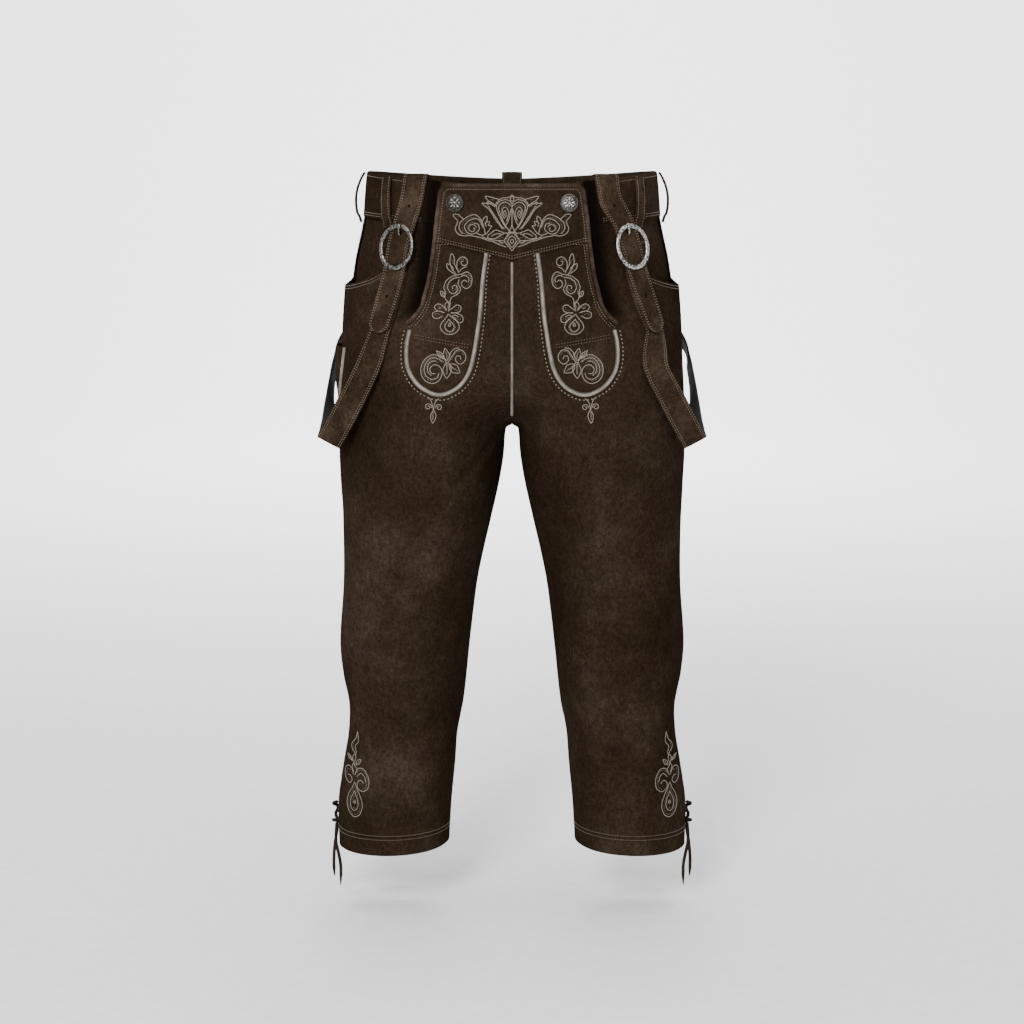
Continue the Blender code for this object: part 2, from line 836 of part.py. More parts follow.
def tongue_outline():
    """Return the tongue's border from the inner top, round the U, to the slit's end."""
    inner_side = [(x_in, z) for z, x_in, _ in TONGUE]
    outer_side = [(x_out, z) for z, _, x_out in TONGUE if z < -0.146]
    bottom = [(0.0800, TONGUE[-1][0] - 0.0006)]
    return inner_side + bottom + outer_side[::-1]


def piping_route():
    """Return the route of the piping, just outside the tongue's border."""
    border = tongue_outline()
    route = []
    for index, (x, z) in enumerate(border):
        ahead = border[min(index + 1, len(border) - 1)]
        behind = border[max(index - 1, 0)]
        run = Vector((ahead[0] - behind[0], ahead[1] - behind[1]))
        run.normalize()
        route.append((x + run.y * PIPING_OFF, z - run.x * PIPING_OFF))
    return route


def tongue_piping(builder, name, side):
    """Make the grey piping along the tongue's border."""
    route = [(x * side, z) for x, z in piping_route()]
    frames = surface_frames(route, GAP, 30)
    builder.sweep(name, frames, bead(PIPING_WIDTH, PIPING_HEIGHT), "piping")


PIPING_FOOT = -0.2440


def centre_piping(builder):
    """Make the thin piping over the front seam, down into the crotch."""
    centres, normals = [], []
    for index in range(15):
        z = mix(YOKE_LOW - 0.0016, PIPING_FOOT, index / 14.0)
        step = 0.002
        point, _ = skin("front", BY_THE_MIDDLE, z, flap_lift(0.0, z))
        higher, _ = skin("front", BY_THE_MIDDLE, z + step, flap_lift(0.0, z + step))
        up = (higher - point).normalized()
        out = Vector((0.0, up.z, -up.y)) * -1.0
        point.x = 0.0
        valley = smooth((-0.200 - z) / 0.040)
        centres.append(point + out * mix(0.0006, 0.0020, valley))
        normals.append(out)
    frames = frames_through(centres, normals)
    builder.sweep("centre_piping", frames, bead(*CENTRE_PIPING), "piping")


def flap_binding(builder):
    """Make the rolled binding along the drop front's free edge, from slit end to slit end."""
    inset = 0.0018
    side_line = [(x - inset, z) for z, x in FLAP_EDGE[:0:-1] if z < 0.0]
    top = YOKE_TOP - inset
    bend = YOKE_CORNER - inset
    edge = FLAP_EDGE[1][1] - inset
    corner = [
        (edge - bend + bend * math.cos(turn), top - bend + bend * math.sin(turn))
        for turn in (0.0, math.pi / 4, math.pi / 2)
    ]
    half = side_line + corner + [(0.035, top)]
    route = half + [(-x, z) for x, z in reversed(half)]
    frames = surface_frames(route, GAP, 50)
    builder.sweep("flap_binding", frames, bead(*BINDING), "flap_suede")


def belt_loop(builder, name, face, x, width, bow):
    """Make a bowed loop over the waistband, fixed at the top and bottom."""
    centres, normals = [], []
    half = STRAP_WALL / 2.0
    for index in range(9):
        share = index / 8.0
        if face == "side":
            z = mix(WAIST_TOP - 0.0010, WAIST_SEAM - LOOP_EDGE_REACH, share)
            point, normal = skin("back", 0.0, z)
            point, normal = mirrored(point, x), mirrored(normal, x)
        else:
            z = mix(waist_top(face, x) - 0.0010, waist_seam(x) - LOOP_EDGE_REACH, share)
            point, normal = above(face, x, z)
        seat = 0.0008 if z > waist_seam(x if face != "side" else 0.17) - 0.0008 else 0.0004
        lift = seat + GAP + half + bow * math.sin(math.pi * share) ** 0.8
        centres.append(point + normal * lift)
        normals.append(normal)
    frames = frames_through(centres, normals)
    builder.sweep("belt_loop_" + name, frames, flat_profile(width, STRAP_WALL), "strap_leather")


HANGER_WIDTH = 0.0240
HANGER_STATIONS = 18
# Columns: z, lift
HANGER = (
    (-0.0385, 0.0020),
    (-0.0300, 0.0034),
    (-0.0080, 0.0050),
    (0.0110, 0.0044),
    (0.0195, 0.0012),
    (0.0185, -0.0034),
    (0.0080, -0.0058),
    (-0.0060, -0.0056),
)


def hanger_loop(builder):
    """Make the wide centre back loop that rises over the waistband's top edge."""
    route = []
    for z, lift in HANGER:
        point, _ = skin("back", BY_THE_MIDDLE, z)
        route.append(Vector((0.0, point.y + lift, z)))
    centres = spline(route, HANGER_STATIONS)
    normals = []
    for index in range(HANGER_STATIONS):
        ahead = centres[min(index + 1, HANGER_STATIONS - 1)]
        behind = centres[max(index - 1, 0)]
        along = (ahead - behind).normalized()
        normals.append(Vector((0.0, along.z, -along.y)))
    frames = frames_through(centres, normals)
    builder.sweep("belt_loop_centre", frames, flat_profile(HANGER_WIDTH, STRAP_WALL), "strap_leather")


def billet_route(side):
    """Return the billet's centre line from inside the waistband, over it, to the tip."""
    name = "left" if side < 0.0 else "right"
    place = BILLET_COLUMNS.index(name)
    rows = [(row[place] * side, row[0], row[3]) for row in BILLET]
    x = rows[0][0] - 0.0040 * side
    top = waist_top("front", x)
    inside = -(BAND_WALL - 0.0008 + GAP + STRAP_WALL / 2.0) - STRAP_HOLLOW
    centres, outs = [], []
    for z, lift in ((-0.012, inside), (0.002, inside), (top + 0.001, inside)):
        point, normal = above("front", x, z)
        centres.append(point + normal * lift)
    point, normal = above("front", x, top)
    centres.append(point + normal * -0.0008 + Vector((0.0, 0.0, 0.0054)))
    for x, z, lift in [(x, top + 0.001, 0.0036)] + rows:
        point, normal = above("front", x, z)
        centres.append(point + normal * lift)
    return centres


def strap_frames(centres, count):
    """Return frames of a flat strap that lies along the front, folded over the top edge."""
    line = spline(centres, count)
    frames = []
    for index, centre in enumerate(line):
        ahead = line[min(index + 1, count - 1)]
        behind = line[max(index - 1, 0)]
        along = (ahead - behind).normalized()
        _, normal = above("front", centre.x, min(0.0, centre.z))
        across = Vector((0.0, 0.0, 1.0)).cross(normal)
        if along.z < -0.6:
            across = normal.cross(along)
        across = (across - along * across.dot(along)).normalized()
        if across.x < 0.0:
            across.negate()
        frames.append((centre, across, along.cross(across)))
    folded = [k for k in range(count) if line[k].z > line[0].z + 0.016]
    near = range(folded[0], folded[-1] + 1)
    return [frame for k, frame in enumerate(frames) if k in near or (count - 1 - k) % 3 == 0]


def flat_profile(width, thickness):
    """Return a strap's flat section."""
    return (
        (-width / 2.0, -thickness / 2.0),
        (-width / 2.0, thickness / 2.0),
        (width / 2.0, thickness / 2.0),
        (width / 2.0, -thickness / 2.0),
    )


BILLET_STATIONS = 112
HOLE_RADIUS = 0.0019
HOLE_HEIGHTS = (-0.0135, -0.0430, -0.0790, -0.1120)


def billet(builder, name, side):
    """Make the strap with punched holes that is folded over the waistband."""
    frames = strap_frames(billet_route(side), BILLET_STATIONS)
    tip_cells = 4

    def profile(index):
        left = len(frames) - 1 - index
        share = 1.0
        if left < tip_cells:
            share = math.sqrt(1.0 - ((tip_cells - left) / (tip_cells + 0.35)) ** 2)
        return flat_profile(STRAP_WIDTH * share, STRAP_WALL)

    strap = builder.sweep(name, frames, profile, "strap_leather")
    for number, height in enumerate(HOLE_HEIGHTS):
        centre, across, out = outside_at(frames, height)
        form = bmesh.new()
        bmesh.ops.create_cone(
            form, cap_ends=True, segments=8, radius1=HOLE_RADIUS, radius2=HOLE_RADIUS, depth=0.008
        )
        mesh = bpy.data.meshes.new(name + "_punch")
        form.to_mesh(mesh)
        form.free()
        punch = bpy.data.objects.new(f"{name}_punch_{number}", mesh)
        punch.location = centre
        punch.rotation_euler = out.to_track_quat("Z", "Y").to_euler()
        builder.cutters.objects.link(punch)
        builder.boolean(strap, punch, "DIFFERENCE")
    return frames


def outside_at(frames, height):
    """Return the frame at a height on the billet's outer run, past the fold."""
    fold = max(range(len(frames)), key=lambda k: frames[k][0].z)
    return min(frames[fold:], key=lambda frame: abs(frame[0].z - height))


def placed(frame, along_up):
    """Return the matrix of a piece whose Z is outward and whose Y runs up the strap."""
    centre, across, out = frame
    up = out.cross(across)
    if up.z < 0.0:
        up.negate()
    right = up.cross(out)
    matrix = Matrix((right, up, out)).transposed().to_4x4()
    matrix.translation = centre + out * along_up
    return matrix


RING_LEVEL = 0.0030
BAR_LEVEL = -0.0027


def buckle(builder, name, frame):
    """Make the oval ring with the bar that its prong turns on, which passes under the billet."""
    matrix = placed(frame, 0.0)
    a = (RING_WIDTH - RING_BAND) / 2.0
    b = (RING_HEIGHT - RING_BAND) / 2.0
    count = 22
    curve = bpy.data.curves.new(name, "CURVE")
    curve.dimensions = "3D"
    curve.bevel_depth = RING_BAND / 2.0
    curve.bevel_resolution = 2
    line = curve.splines.new("POLY")
    line.points.add(count - 1)
    line.use_cyclic_u = True
    for index in range(count):
        turn = 2.0 * math.pi * index / count
        line.points[index].co = (a * math.cos(turn), b * math.sin(turn), 0.0, 1.0)
    ring = builder.meshed(builder.add(name, curve, "antique_silver"))
    for vertex in ring.data.vertices:
        vertex.co.z = vertex.co.z * RING_THICKNESS / RING_BAND + RING_LEVEL
    ring.data.transform(matrix)
    route = [
        Vector((-a, 0.0, RING_LEVEL)),
        Vector((-a, 0.0, BAR_LEVEL + 0.0008)),
        Vector((-a + 0.0012, 0.0, BAR_LEVEL)),
        Vector((a - 0.0012, 0.0, BAR_LEVEL)),
        Vector((a, 0.0, BAR_LEVEL + 0.0008)),
        Vector((a, 0.0, RING_LEVEL)),
    ]
    bar = builder.meshed(builder.tube(name + "_bar", route, 0.0011, "antique_silver"))
    bar.data.transform(matrix)
    builder.boolean(ring, bar, "UNION")
    ring.data.shade_smooth()


def prong(builder, name, frame):
    """Make the prong that leaves a punched hole and rests on the top of the ring."""
    matrix = placed(frame, 0.0)
    top = RING_HEIGHT / 2.0 - RING_BAND / 2.0
    route = [
        Vector((0.0, top - 0.0100, 0.0022)),
        Vector((0.0, top - 0.0080, 0.0036)),
        Vector((0.0, top - 0.0050, 0.0050)),
        Vector((0.0, top - 0.0015, 0.0056)),
        Vector((0.0, top + 0.0030, 0.0057)),
    ]
    points = [matrix @ point for point in route]
    tapers = (0.75, 0.9, 1.0, 1.0, 0.85)
    builder.tube(name, points, 0.0012, "antique_silver", tapers)


# Columns: x, y, z, across_x, across_y, across_z
STRAP_FREE = (
    (0.1590, -0.1120, -0.1880, 0.80, 0.30, 0.50),
    (0.1745, -0.1070, -0.2200, 0.84, 0.20, 0.48),
    (0.1900, -0.1000, -0.2490, 0.87, 0.10, 0.47),
    (0.2000, -0.0935, -0.2670, 0.88, 0.03, 0.47),
    (0.2042, -0.0865, -0.2745, 0.88, 0.00, 0.47),
    (0.2055, -0.0815, -0.2768, 0.88, 0.00, 0.47),
    (0.2050, -0.0765, -0.2755, 0.88, 0.00, 0.47),
    (0.2032, -0.0705, -0.2680, 0.86, -0.10, 0.49),
    (0.2022, -0.0600, -0.2560, 0.78, -0.30, 0.54),
    (0.2060, -0.0350, -0.2400, 0.32, -0.62, 0.71),
    (0.2072, -0.0050, -0.2220, 0.10, -0.67, 0.74),
    (0.2050, 0.0260, -0.1990, 0.02, -0.70, 0.71),
    (0.1985, 0.0520, -0.1730, -0.10, -0.72, 0.68),
)
# Columns: s, z, lift
STRAP_BACK = (
    (0.300, -0.1300, 0.0062),
    (0.370, -0.0950, 0.0044),
    (0.440, -0.0600, 0.0034),
    (0.500, -0.0300, 0.0030),
    (0.540, -0.0100, 0.0024),
    (0.560, 0.0020, 0.0022),
)
STRAP_STATIONS = 52


def strap_nodes(side):
    """Return the long strap's stations: on the front, in the free loop, and up the back."""
    name = "left" if side < 0.0 else "right"
    place = BILLET_COLUMNS.index(name)
    stations = []
    for row in BILLET[RING_ROW + 1:]:
        point, normal = above("front", row[place] * side, row[0])
        along = Vector((0.26 * side, 0.0, -0.96))
        stations.append((point + normal * 0.0018, normal.cross(along) * 1.0))
    for x, y, z, across_x, across_y, across_z in STRAP_FREE:
        stations.append((Vector((x * side, y, z)), Vector((across_x * side, across_y, across_z))))
    for s, z, lift in STRAP_BACK:
        point, normal = skin("back", s, z, lift)
        ahead, _ = skin("back", s + 0.05, z + 0.012, lift)
        along = (ahead - point).normalized()
        stations.append((mirrored(point, side), mirrored(along.cross(normal), side)))
    return stations


ACROSS_SCALE = 0.012


def brace_strap(builder, name, side):
    """Make the long strap that hangs from the buckle in a loop and returns to the back."""
    stations = strap_nodes(side)
    rows = []
    last = stations[0][1]
    for point, across in stations:
        last = across if across.dot(last) > 0.0 else -across
        rows.append(Vector((*point, *(last.normalized() * ACROSS_SCALE))))
    line = spline(rows, STRAP_STATIONS)
    centres = [Vector(row[:3]) for row in line]
    frames = []
    for index, centre in enumerate(centres):
        ahead = centres[min(index + 1, STRAP_STATIONS - 1)]
        behind = centres[max(index - 1, 0)]
        along = (ahead - behind).normalized()
        across = Vector(line[index][3:])
        across = (across - along * across.dot(along)).normalized()
        frames.append((centre, across, across.cross(along)))
    builder.sweep(name, frames, flat_profile(STRAP_WIDTH * 0.98, STRAP_WALL), "strap_leather")
    return frames


def button(builder, name, point, normal, radius, height):
    """Make a domed metal button with a raised rim, turned about its axis."""
    mesh = bpy.data.meshes.new(name)
    profile = (
        (0.0, height),
        (radius * 0.45, height * 0.92),
        (radius * 0.74, height * 0.66),
        (radius * 0.84, height * 0.80),
        (radius, height * 0.45),
        (radius * 0.96, 0.0),
        (0.0, 0.0),
    )
    mesh.from_pydata(
        [(x, 0.0, z) for x, z in profile],
        [(k, k + 1) for k in range(len(profile) - 1)],
        [],
    )
    disc = builder.add(name, mesh, "antique_silver")
    turn = disc.modifiers.new("turned", "SCREW")
    turn.steps = 16
    turn.render_steps = 16
    turn.use_merge_vertices = True
    turn.merge_threshold = 0.00005
    turn.use_normal_calculate = False
    disc.location = point
    disc.rotation_euler = normal.to_track_quat("Z", "Y").to_euler()


POCKET_TOP = -0.1740
POCKET_FOOT = -0.2420
POCKET_BULGE = 0.0048
POCKET_FRONT = (-0.046, -0.024)
POCKET_BACK = (0.022, 0.018)
POCKET_WALL = WALL * 0.8


def knife_pocket(builder):
    """Make the narrow side pocket on the wearer's right thigh, open at its top."""
    outer, inner = [], []
    for i in range(8):
        fall = i / 7.0
        outer_row, inner_row = [], []
        for j in range(9):
            turn = j / 8.0
            y = mix(mix(*POCKET_FRONT, fall), mix(*POCKET_BACK, fall), turn)
            z = mix(POCKET_TOP, POCKET_FOOT, fall)
            face = "front" if y < 0.0 else "back"
            point, normal = beside(face, y, z)
            arch = math.sin(math.pi * turn) ** 0.7
            arch *= 1.0 - 0.94 * smooth((fall - 0.42) / 0.52)
            lift = GAP + POCKET_WALL + POCKET_BULGE * arch
            outer_row.append(mirrored(point + normal * lift, -1.0))
            inner_row.append(mirrored(point + normal * (lift - POCKET_WALL), -1.0))
        outer.append(outer_row)
        inner.append(inner_row)
    builder.shell("knife_pocket", outer, inner, "suede")


def beside(face, y, z):
    """Return the body surface near the side seam at a depth y."""
    low, high = 0.0, 0.6
    for _ in range(24):
        middle = (low + high) / 2.0
        if abs(ring_point(face, middle, z).y) < abs(y):
            low = middle
        else:
            high = middle
    return skin(face, (low + high) / 2.0, z)


def knife_pocket_piping(builder):
    """Make the light piping along the side pocket's front edge."""
    centres, normals = [], []
    for i in range(12):
        fall = i / 11.0
        y = mix(*POCKET_FRONT, fall) - 0.0016
        z = mix(POCKET_TOP, POCKET_FOOT, fall)
        point, normal = beside("front", y, z)
        centres.append(mirrored(point + normal * GAP, -1.0))
        normals.append(mirrored(normal, -1.0))
    frames = frames_through(centres, normals)
    builder.sweep("knife_pocket_piping", frames, bead(*POCKET_PIPING), "piping")


# Columns: y, z, lift
LACING = (
    (-0.0075, -0.7120, 0.0020),
    (0.0, -0.7160, 0.0060),
    (0.0075, -0.7205, 0.0020),
    (0.0070, -0.7250, 0.0020),
    (0.0, -0.7280, 0.0034),
    (-0.0070, -0.7310, 0.0020),
    (-0.0060, -0.7345, 0.0023),
    (0.0, -0.7358, 0.0064),
    (0.0062, -0.7380, 0.0028),
    (0.0076, -0.7420, 0.0022),
)


def knee_lacing(builder, side, label):
    """Make the thong that laces the vent beside the knee."""
    route = []
    for y, z, lift in LACING:
        face = "front" if y < 0.0 else "back"
        point, normal = beside(face, y, z)
        route.append(mirrored(point + normal * lift, side))
    builder.tube("lacing_" + label, spline(route, 20), THONG_RADIUS, "thong")


# Columns: x, y, z
LACE_ENDS = {
    "front": (
        (0.2066, -0.0070, -0.7376),
        (0.2068, -0.0100, -0.7430),
        (0.2070, -0.0160, -0.7500),
        (0.2062, -0.0235, -0.7580),
        (0.2034, -0.0265, -0.7690),
        (0.2014, -0.0260, -0.7810),
        (0.2010, -0.0250, -0.7930),
        (0.2016, -0.0240, -0.8080),
    ),
    "back": (
        (0.2064, 0.0081, -0.7433),
        (0.2078, 0.0074, -0.7530),
        (0.2098, 0.0058, -0.7660),
        (0.2110, 0.0040, -0.7800),
        (0.2112, 0.0040, -0.7930),
        (0.2106, 0.0045, -0.8060),
    ),
}


def lace_end(builder, side, label, which):
    """Make one free thong end with a pointed tip."""
    points = spline([Vector((x * side, y, z)) for x, y, z in LACE_ENDS[which]], 10)
    tapers = [1.0] * 7 + [0.85, 0.6, 0.25]
    builder.tube(f"lace_end_{label}_{which}", points, THONG_RADIUS, "thong", tapers)


def build():
    """Build every piece of the breeches."""
    clear_scene()
    builder = Builder()
    sides = (("left", -1.0), ("right", 1.0))
    for label, side in sides:
        front_panel(builder, "front_" + label, side)
        back_panel(builder, "back_" + label, side)
        facing(builder, "facing_" + label, side)
        band_piece(builder, "waistband_" + label, "front", (side,))
        tongue(builder, "tongue_" + label, side)
        tongue_piping(builder, "tongue_piping_" + label, side)
        frames = billet(builder, "billet_" + label, side)
        ring = outside_at(frames, BILLET[RING_ROW][0])
        buckle(builder, "buckle_" + label, ring)
        prong(builder, "prong_" + label, ring)
        strap = brace_strap(builder, "brace_strap_" + label, side)
        point, normal = on_flap(BUTTON_X * side, BUTTON_Z, GAP)
        button(builder, "button_" + label, point, normal, BUTTON_RADIUS, BUTTON_HEIGHT)
        centre, _, out = strap[-4]
        if out.y < 0.0:
            out = -out
        seat = centre + out * (STRAP_WALL / 2.0 + GAP * 2.0)
        button(builder, "strap_button_" + label, seat, out, STRAP_BUTTON_RADIUS, STRAP_BUTTON_HEIGHT)
        knee_lacing(builder, side, label)
        for which in LACE_ENDS:
            lace_end(builder, side, label, which)
    band_piece(builder, "waistband_back", "back", (-1.0, 1.0))
    yoke(builder)
    flap_binding(builder)
    centre_piping(builder)
    for loop in BELT_LOOPS:
        belt_loop(builder, *loop)
    hanger_loop(builder)
    knife_pocket(builder)
    knife_pocket_piping(builder)


build()
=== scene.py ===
"""Looks of a pair of dark suede knee breeches: leather panels, sewing, embroidery, straps and metal.

Metres, +Z up, the front faces -Y. Left and right are the viewer's. Every leather panel is rebuilt
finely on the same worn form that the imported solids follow, and what is sewn on lies on that form.
"""

import logging
import math
from dataclasses import dataclass, field
from enum import Enum
from typing import Callable, Iterable, Sequence

import bmesh
import bpy
import numpy as np
from mathutils import Matrix, Vector

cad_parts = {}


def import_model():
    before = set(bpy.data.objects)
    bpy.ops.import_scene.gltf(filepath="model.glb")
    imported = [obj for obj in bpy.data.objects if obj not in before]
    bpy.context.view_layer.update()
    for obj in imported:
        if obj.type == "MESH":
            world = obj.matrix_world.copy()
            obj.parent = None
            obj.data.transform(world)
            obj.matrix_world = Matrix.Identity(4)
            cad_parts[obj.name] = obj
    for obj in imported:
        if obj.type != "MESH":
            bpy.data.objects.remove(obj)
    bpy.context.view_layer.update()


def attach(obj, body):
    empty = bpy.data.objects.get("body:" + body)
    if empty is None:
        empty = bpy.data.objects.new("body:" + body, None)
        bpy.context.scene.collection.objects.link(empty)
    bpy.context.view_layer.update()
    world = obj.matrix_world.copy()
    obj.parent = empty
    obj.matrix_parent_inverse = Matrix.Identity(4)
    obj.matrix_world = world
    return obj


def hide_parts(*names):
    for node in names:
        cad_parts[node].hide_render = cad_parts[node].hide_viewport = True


log = logging.getLogger("knee_breeches")
Array = np.ndarray
Amount = np.ndarray | float
Pair = tuple[np.ndarray, np.ndarray]
Triple = tuple[float, float, float]
Piece = bpy.types.Object
Socket = bpy.types.NodeSocket
Material = bpy.types.Material
ROOT = "root"


class Face(Enum):
    """The half of the body that a panel covers."""

    FRONT = "front"
    BACK = "back"


class Hand(Enum):
    """The viewer's side of the garment."""

    LEFT = -1.0
    RIGHT = 1.0

    @property
    def label(self) -> str:
        """Return the word that node names use."""
        return self.name.lower()


def metres(*rows: tuple[int, ...]) -> tuple[tuple[float, ...], ...]:
    """Return rows in metres that are written in tenths of a millimetre."""
    return tuple(tuple(value / 10000 for value in row) for row in rows)


def drawn(*lines: tuple[int, ...]) -> tuple[Array, ...]:
    """Return each line's points in millimetres.

    Args:
        lines: The start's x and z, then the moves to each next point, in tenths of a millimetre.

    Returns:
        A row of x and z for each point.
    """
    return tuple(np.reshape(line, (-1, 2)).cumsum(axis=0) / 10.0 for line in lines)


# Leather and seams, in metres
WALL = 0.0018
BAND_WALL = 0.003
GAP = 0.0003
TONGUE_GAP = 0.0008
TONGUE_WALL = 0.0011
SEAM_SHARE = 0.0005

# Heights on the body, in metres
WAIST_TOP = 0.0225
WAIST_SEAM = -0.026
CROTCH = -0.2655
HEM = -0.7565
PANEL_TOP = -0.029
TONGUE_TOP = -0.064
HEM_FOLD = -0.7375
SLIT_END = -0.142
YOKE_LOW = -0.0725
YOKE_TOP = 0.0105
YOKE_CORNER = 0.012
YOKE_HALF = 0.083

# Tables in metres(...) are written in tenths of a millimetre
# Columns: z, half width, depth of the front, depth of the back
BODY = metres(
    (350, 1625, 1095, 1080), (225, 1637, 1110, 1100), (-280, 1685, 1165, 1180), (-770, 1788, 1215, 1290),
    (-1230, 1855, 1240, 1380), (-1700, 1930, 1250, 1430), (-2150, 1972, 1240, 1400), (-2960, 1990, 1200, 1255),
    (-3780, 1956, 1130, 1130), (-4480, 1957, 1040, 1040), (-5200, 2005, 945, 960), (-5550, 1980, 900, 910),
    (-5910, 1908, 850, 850), (-6270, 1916, 810, 790), (-6640, 1978, 780, 750), (-7120, 2044, 750, 720),
    (-7650, 2038, 740, 710))

# Columns: z, half of the gap between the legs
LEG_GAP = metres(
    (-2655, 58), (-2960, 88), (-3310, 145), (-3780, 250), (-4130, 332), (-4480, 402), (-4840, 450), (-5200, 491),
    (-5910, 569), (-6270, 638), (-6640, 668), (-7120, 714), (-7650, 744))

# Columns: z, x of the hip pocket's mouth
POCKET_MOUTH = metres(
    (-290, 1185), (-450, 1240), (-620, 1300), (-760, 1370), (-860, 1460), (-930, 1570), (-980, 1680), (-1030, 1790),
    (-1070, 1900))

# Columns: z, x of the drop front's free edge
FLAP_EDGE = metres(
    (200, 780), (50, 795), (-300, 835), (-550, 860), (-890, 910), (-1110, 965), (-1230, 1000), (-1325, 1065),
    (-1380, 1120), (-1420, 1175))

# Columns: z, inner x and outer x of a tongue
TONGUE = metres(
    (-640, 305, 812), (-935, 346, 862), (-1200, 368, 935), (-1360, 385, 1030), (-1500, 408, 1095),
    (-1640, 430, 1125), (-1790, 460, 1130), (-1900, 490, 1110), (-2000, 540, 1060), (-2080, 610, 990),
    (-2130, 690, 910), (-2155, 750, 850))

# Columns: z, x on the left, x on the right, lift of the billet
BILLET = metres(
    (-50, 1090, 1070, 27), (-220, 1130, 1150, 42), (-350, 1162, 1205, 58), (-580, 1222, 1275, 68),
    (-820, 1268, 1345, 54), (-1050, 1322, 1415, 60), (-1300, 1390, 1495, 66), (-1545, 1462, 1570, 66))
RING_ROW = 3

# For each face: s, z, spread in s, spread in z, slope, depth
CREASES = {
    Face.FRONT: (
        (0.8, -0.3, 0.24, 0.03, 0.1, -0.0018), (0.7, -0.37, 0.26, 0.03, 0.12, -0.0014),
        (0.3, -0.56, 0.24, 0.02, -0.06, -0.0018), (0.62, -0.61, 0.26, 0.018, 0.07, -0.0016)),
    Face.BACK: (
        (0.7, -0.3, 0.26, 0.018, 0.08, -0.003), (0.45, -0.56, 0.34, 0.018, 0.05, -0.003),
        (0.5, -0.6, 0.34, 0.018, -0.05, -0.0034), (0.4, -0.645, 0.3, 0.018, 0.04, -0.0022)),
}

# For each face and hand: the same columns
FOLDS = {
    (Face.FRONT, Hand.LEFT): (
        (0.22, -0.33, 0.2, 0.012, 0.16, -0.0008), (0.58, -0.455, 0.26, 0.016, -0.12, -0.0009),
        (0.35, -0.525, 0.22, 0.01, 0.1, -0.0008), (0.75, -0.56, 0.2, 0.011, -0.14, -0.0009),
        (0.45, -0.668, 0.28, 0.012, 0.06, -0.0007), (0.88, -0.26, 0.14, 0.008, 0.25, -0.0009),
        (0.84, -0.283, 0.18, 0.007, 0.3, 0.0007), (0.7, -0.312, 0.22, 0.008, 0.24, -0.0009),
        (0.6, -0.592, 0.24, 0.008, 0.1, 0.0007)),
    (Face.FRONT, Hand.RIGHT): (
        (0.28, -0.35, 0.22, 0.014, -0.1, -0.0008), (0.66, -0.43, 0.22, 0.013, 0.14, -0.0009),
        (0.4, -0.545, 0.26, 0.011, 0.08, -0.0009), (0.8, -0.585, 0.18, 0.01, -0.1, -0.0008),
        (0.5, -0.64, 0.24, 0.01, -0.07, -0.0007), (0.9, -0.268, 0.12, 0.007, 0.28, -0.0009),
        (0.82, -0.292, 0.2, 0.008, 0.24, 0.0007), (0.74, -0.325, 0.2, 0.008, 0.22, -0.001),
        (0.3, -0.602, 0.24, 0.008, -0.09, 0.0007)),
    (Face.BACK, Hand.LEFT): (
        (0.8, -0.225, 0.2, 0.01, 0.22, -0.001), (0.6, -0.4, 0.26, 0.014, -0.1, -0.0009),
        (0.3, -0.5, 0.22, 0.011, 0.09, -0.001), (0.62, -0.625, 0.3, 0.009, 0.05, -0.0012),
        (0.72, -0.262, 0.24, 0.008, 0.24, 0.0009), (0.66, -0.332, 0.24, 0.009, 0.14, -0.0011),
        (0.55, -0.575, 0.3, 0.008, -0.07, 0.0009)),
    (Face.BACK, Hand.RIGHT): (
        (0.78, -0.24, 0.22, 0.011, 0.2, -0.001), (0.5, -0.42, 0.24, 0.013, 0.11, -0.0009),
        (0.7, -0.52, 0.22, 0.012, -0.08, -0.001), (0.35, -0.618, 0.28, 0.009, -0.06, -0.0012),
        (0.7, -0.275, 0.24, 0.008, 0.22, 0.0009), (0.58, -0.345, 0.26, 0.01, 0.16, -0.0011),
        (0.52, -0.58, 0.3, 0.008, 0.08, 0.0009)),
}
FOLD_DEPTH = 1.6


def smooth(share: Amount) -> Array:
    """Ease a share from 0 to 1, and hold it outside that range.

    Args:
        share: Any share, as a number or an array.

    Returns:
        The eased share.
    """
    share = np.clip(share, 0.0, 1.0)
    return share * share * (3.0 - 2.0 * share)


def mix(low: Amount, high: Amount, share: Amount) -> Array:
    """Return the value that lies the given share of the way from low to high."""
    return low + (high - low) * share


def even(count: int) -> Array:
    """Return evenly spaced shares from 0 to 1."""
    return np.linspace(0.0, 1.0, count)


def circle(sides: int) -> Array:
    """Return the angles of a circle's points."""
    return np.linspace(0.0, 2.0 * math.pi, sides, endpoint=False)


def bezier(start: Array, pull_start: Array, pull_end: Array, end: Array, t: Array) -> Array:
    """Return the point at t on a cubic curve.

    Args:
        start: The curve's first point, as a complex number.
        pull_start: The handle that leaves it.
        pull_end: The handle that reaches the end.
        end: The last point.
        t: How far along the curve.

    Returns:
        The point, as a complex number.
    """
    u = 1.0 - t
    return start * u**3 + pull_start * 3 * u * u * t + pull_end * 3 * u * t * t + end * t**3


def bisect(beyond: Callable[[Array], Array], low: Array, high: Array) -> Array:
    """Return the places where a test changes.

    Args:
        beyond: Says for each place whether the one looked for is higher.
        low: Where to start.
        high: Where to end.

    Returns:
        The places.
    """
    for _ in range(22):
        middle = (low + high) / 2.0
        higher = beyond(middle)
        low, high = np.where(higher, middle, low), np.where(higher, high, middle)
    return (low + high) / 2.0


def unit(vectors: Array) -> Array:
    """Return the vectors at length one."""
    length = np.linalg.norm(vectors, axis=-1, keepdims=True)
    return vectors / np.maximum(length, 1e-12)


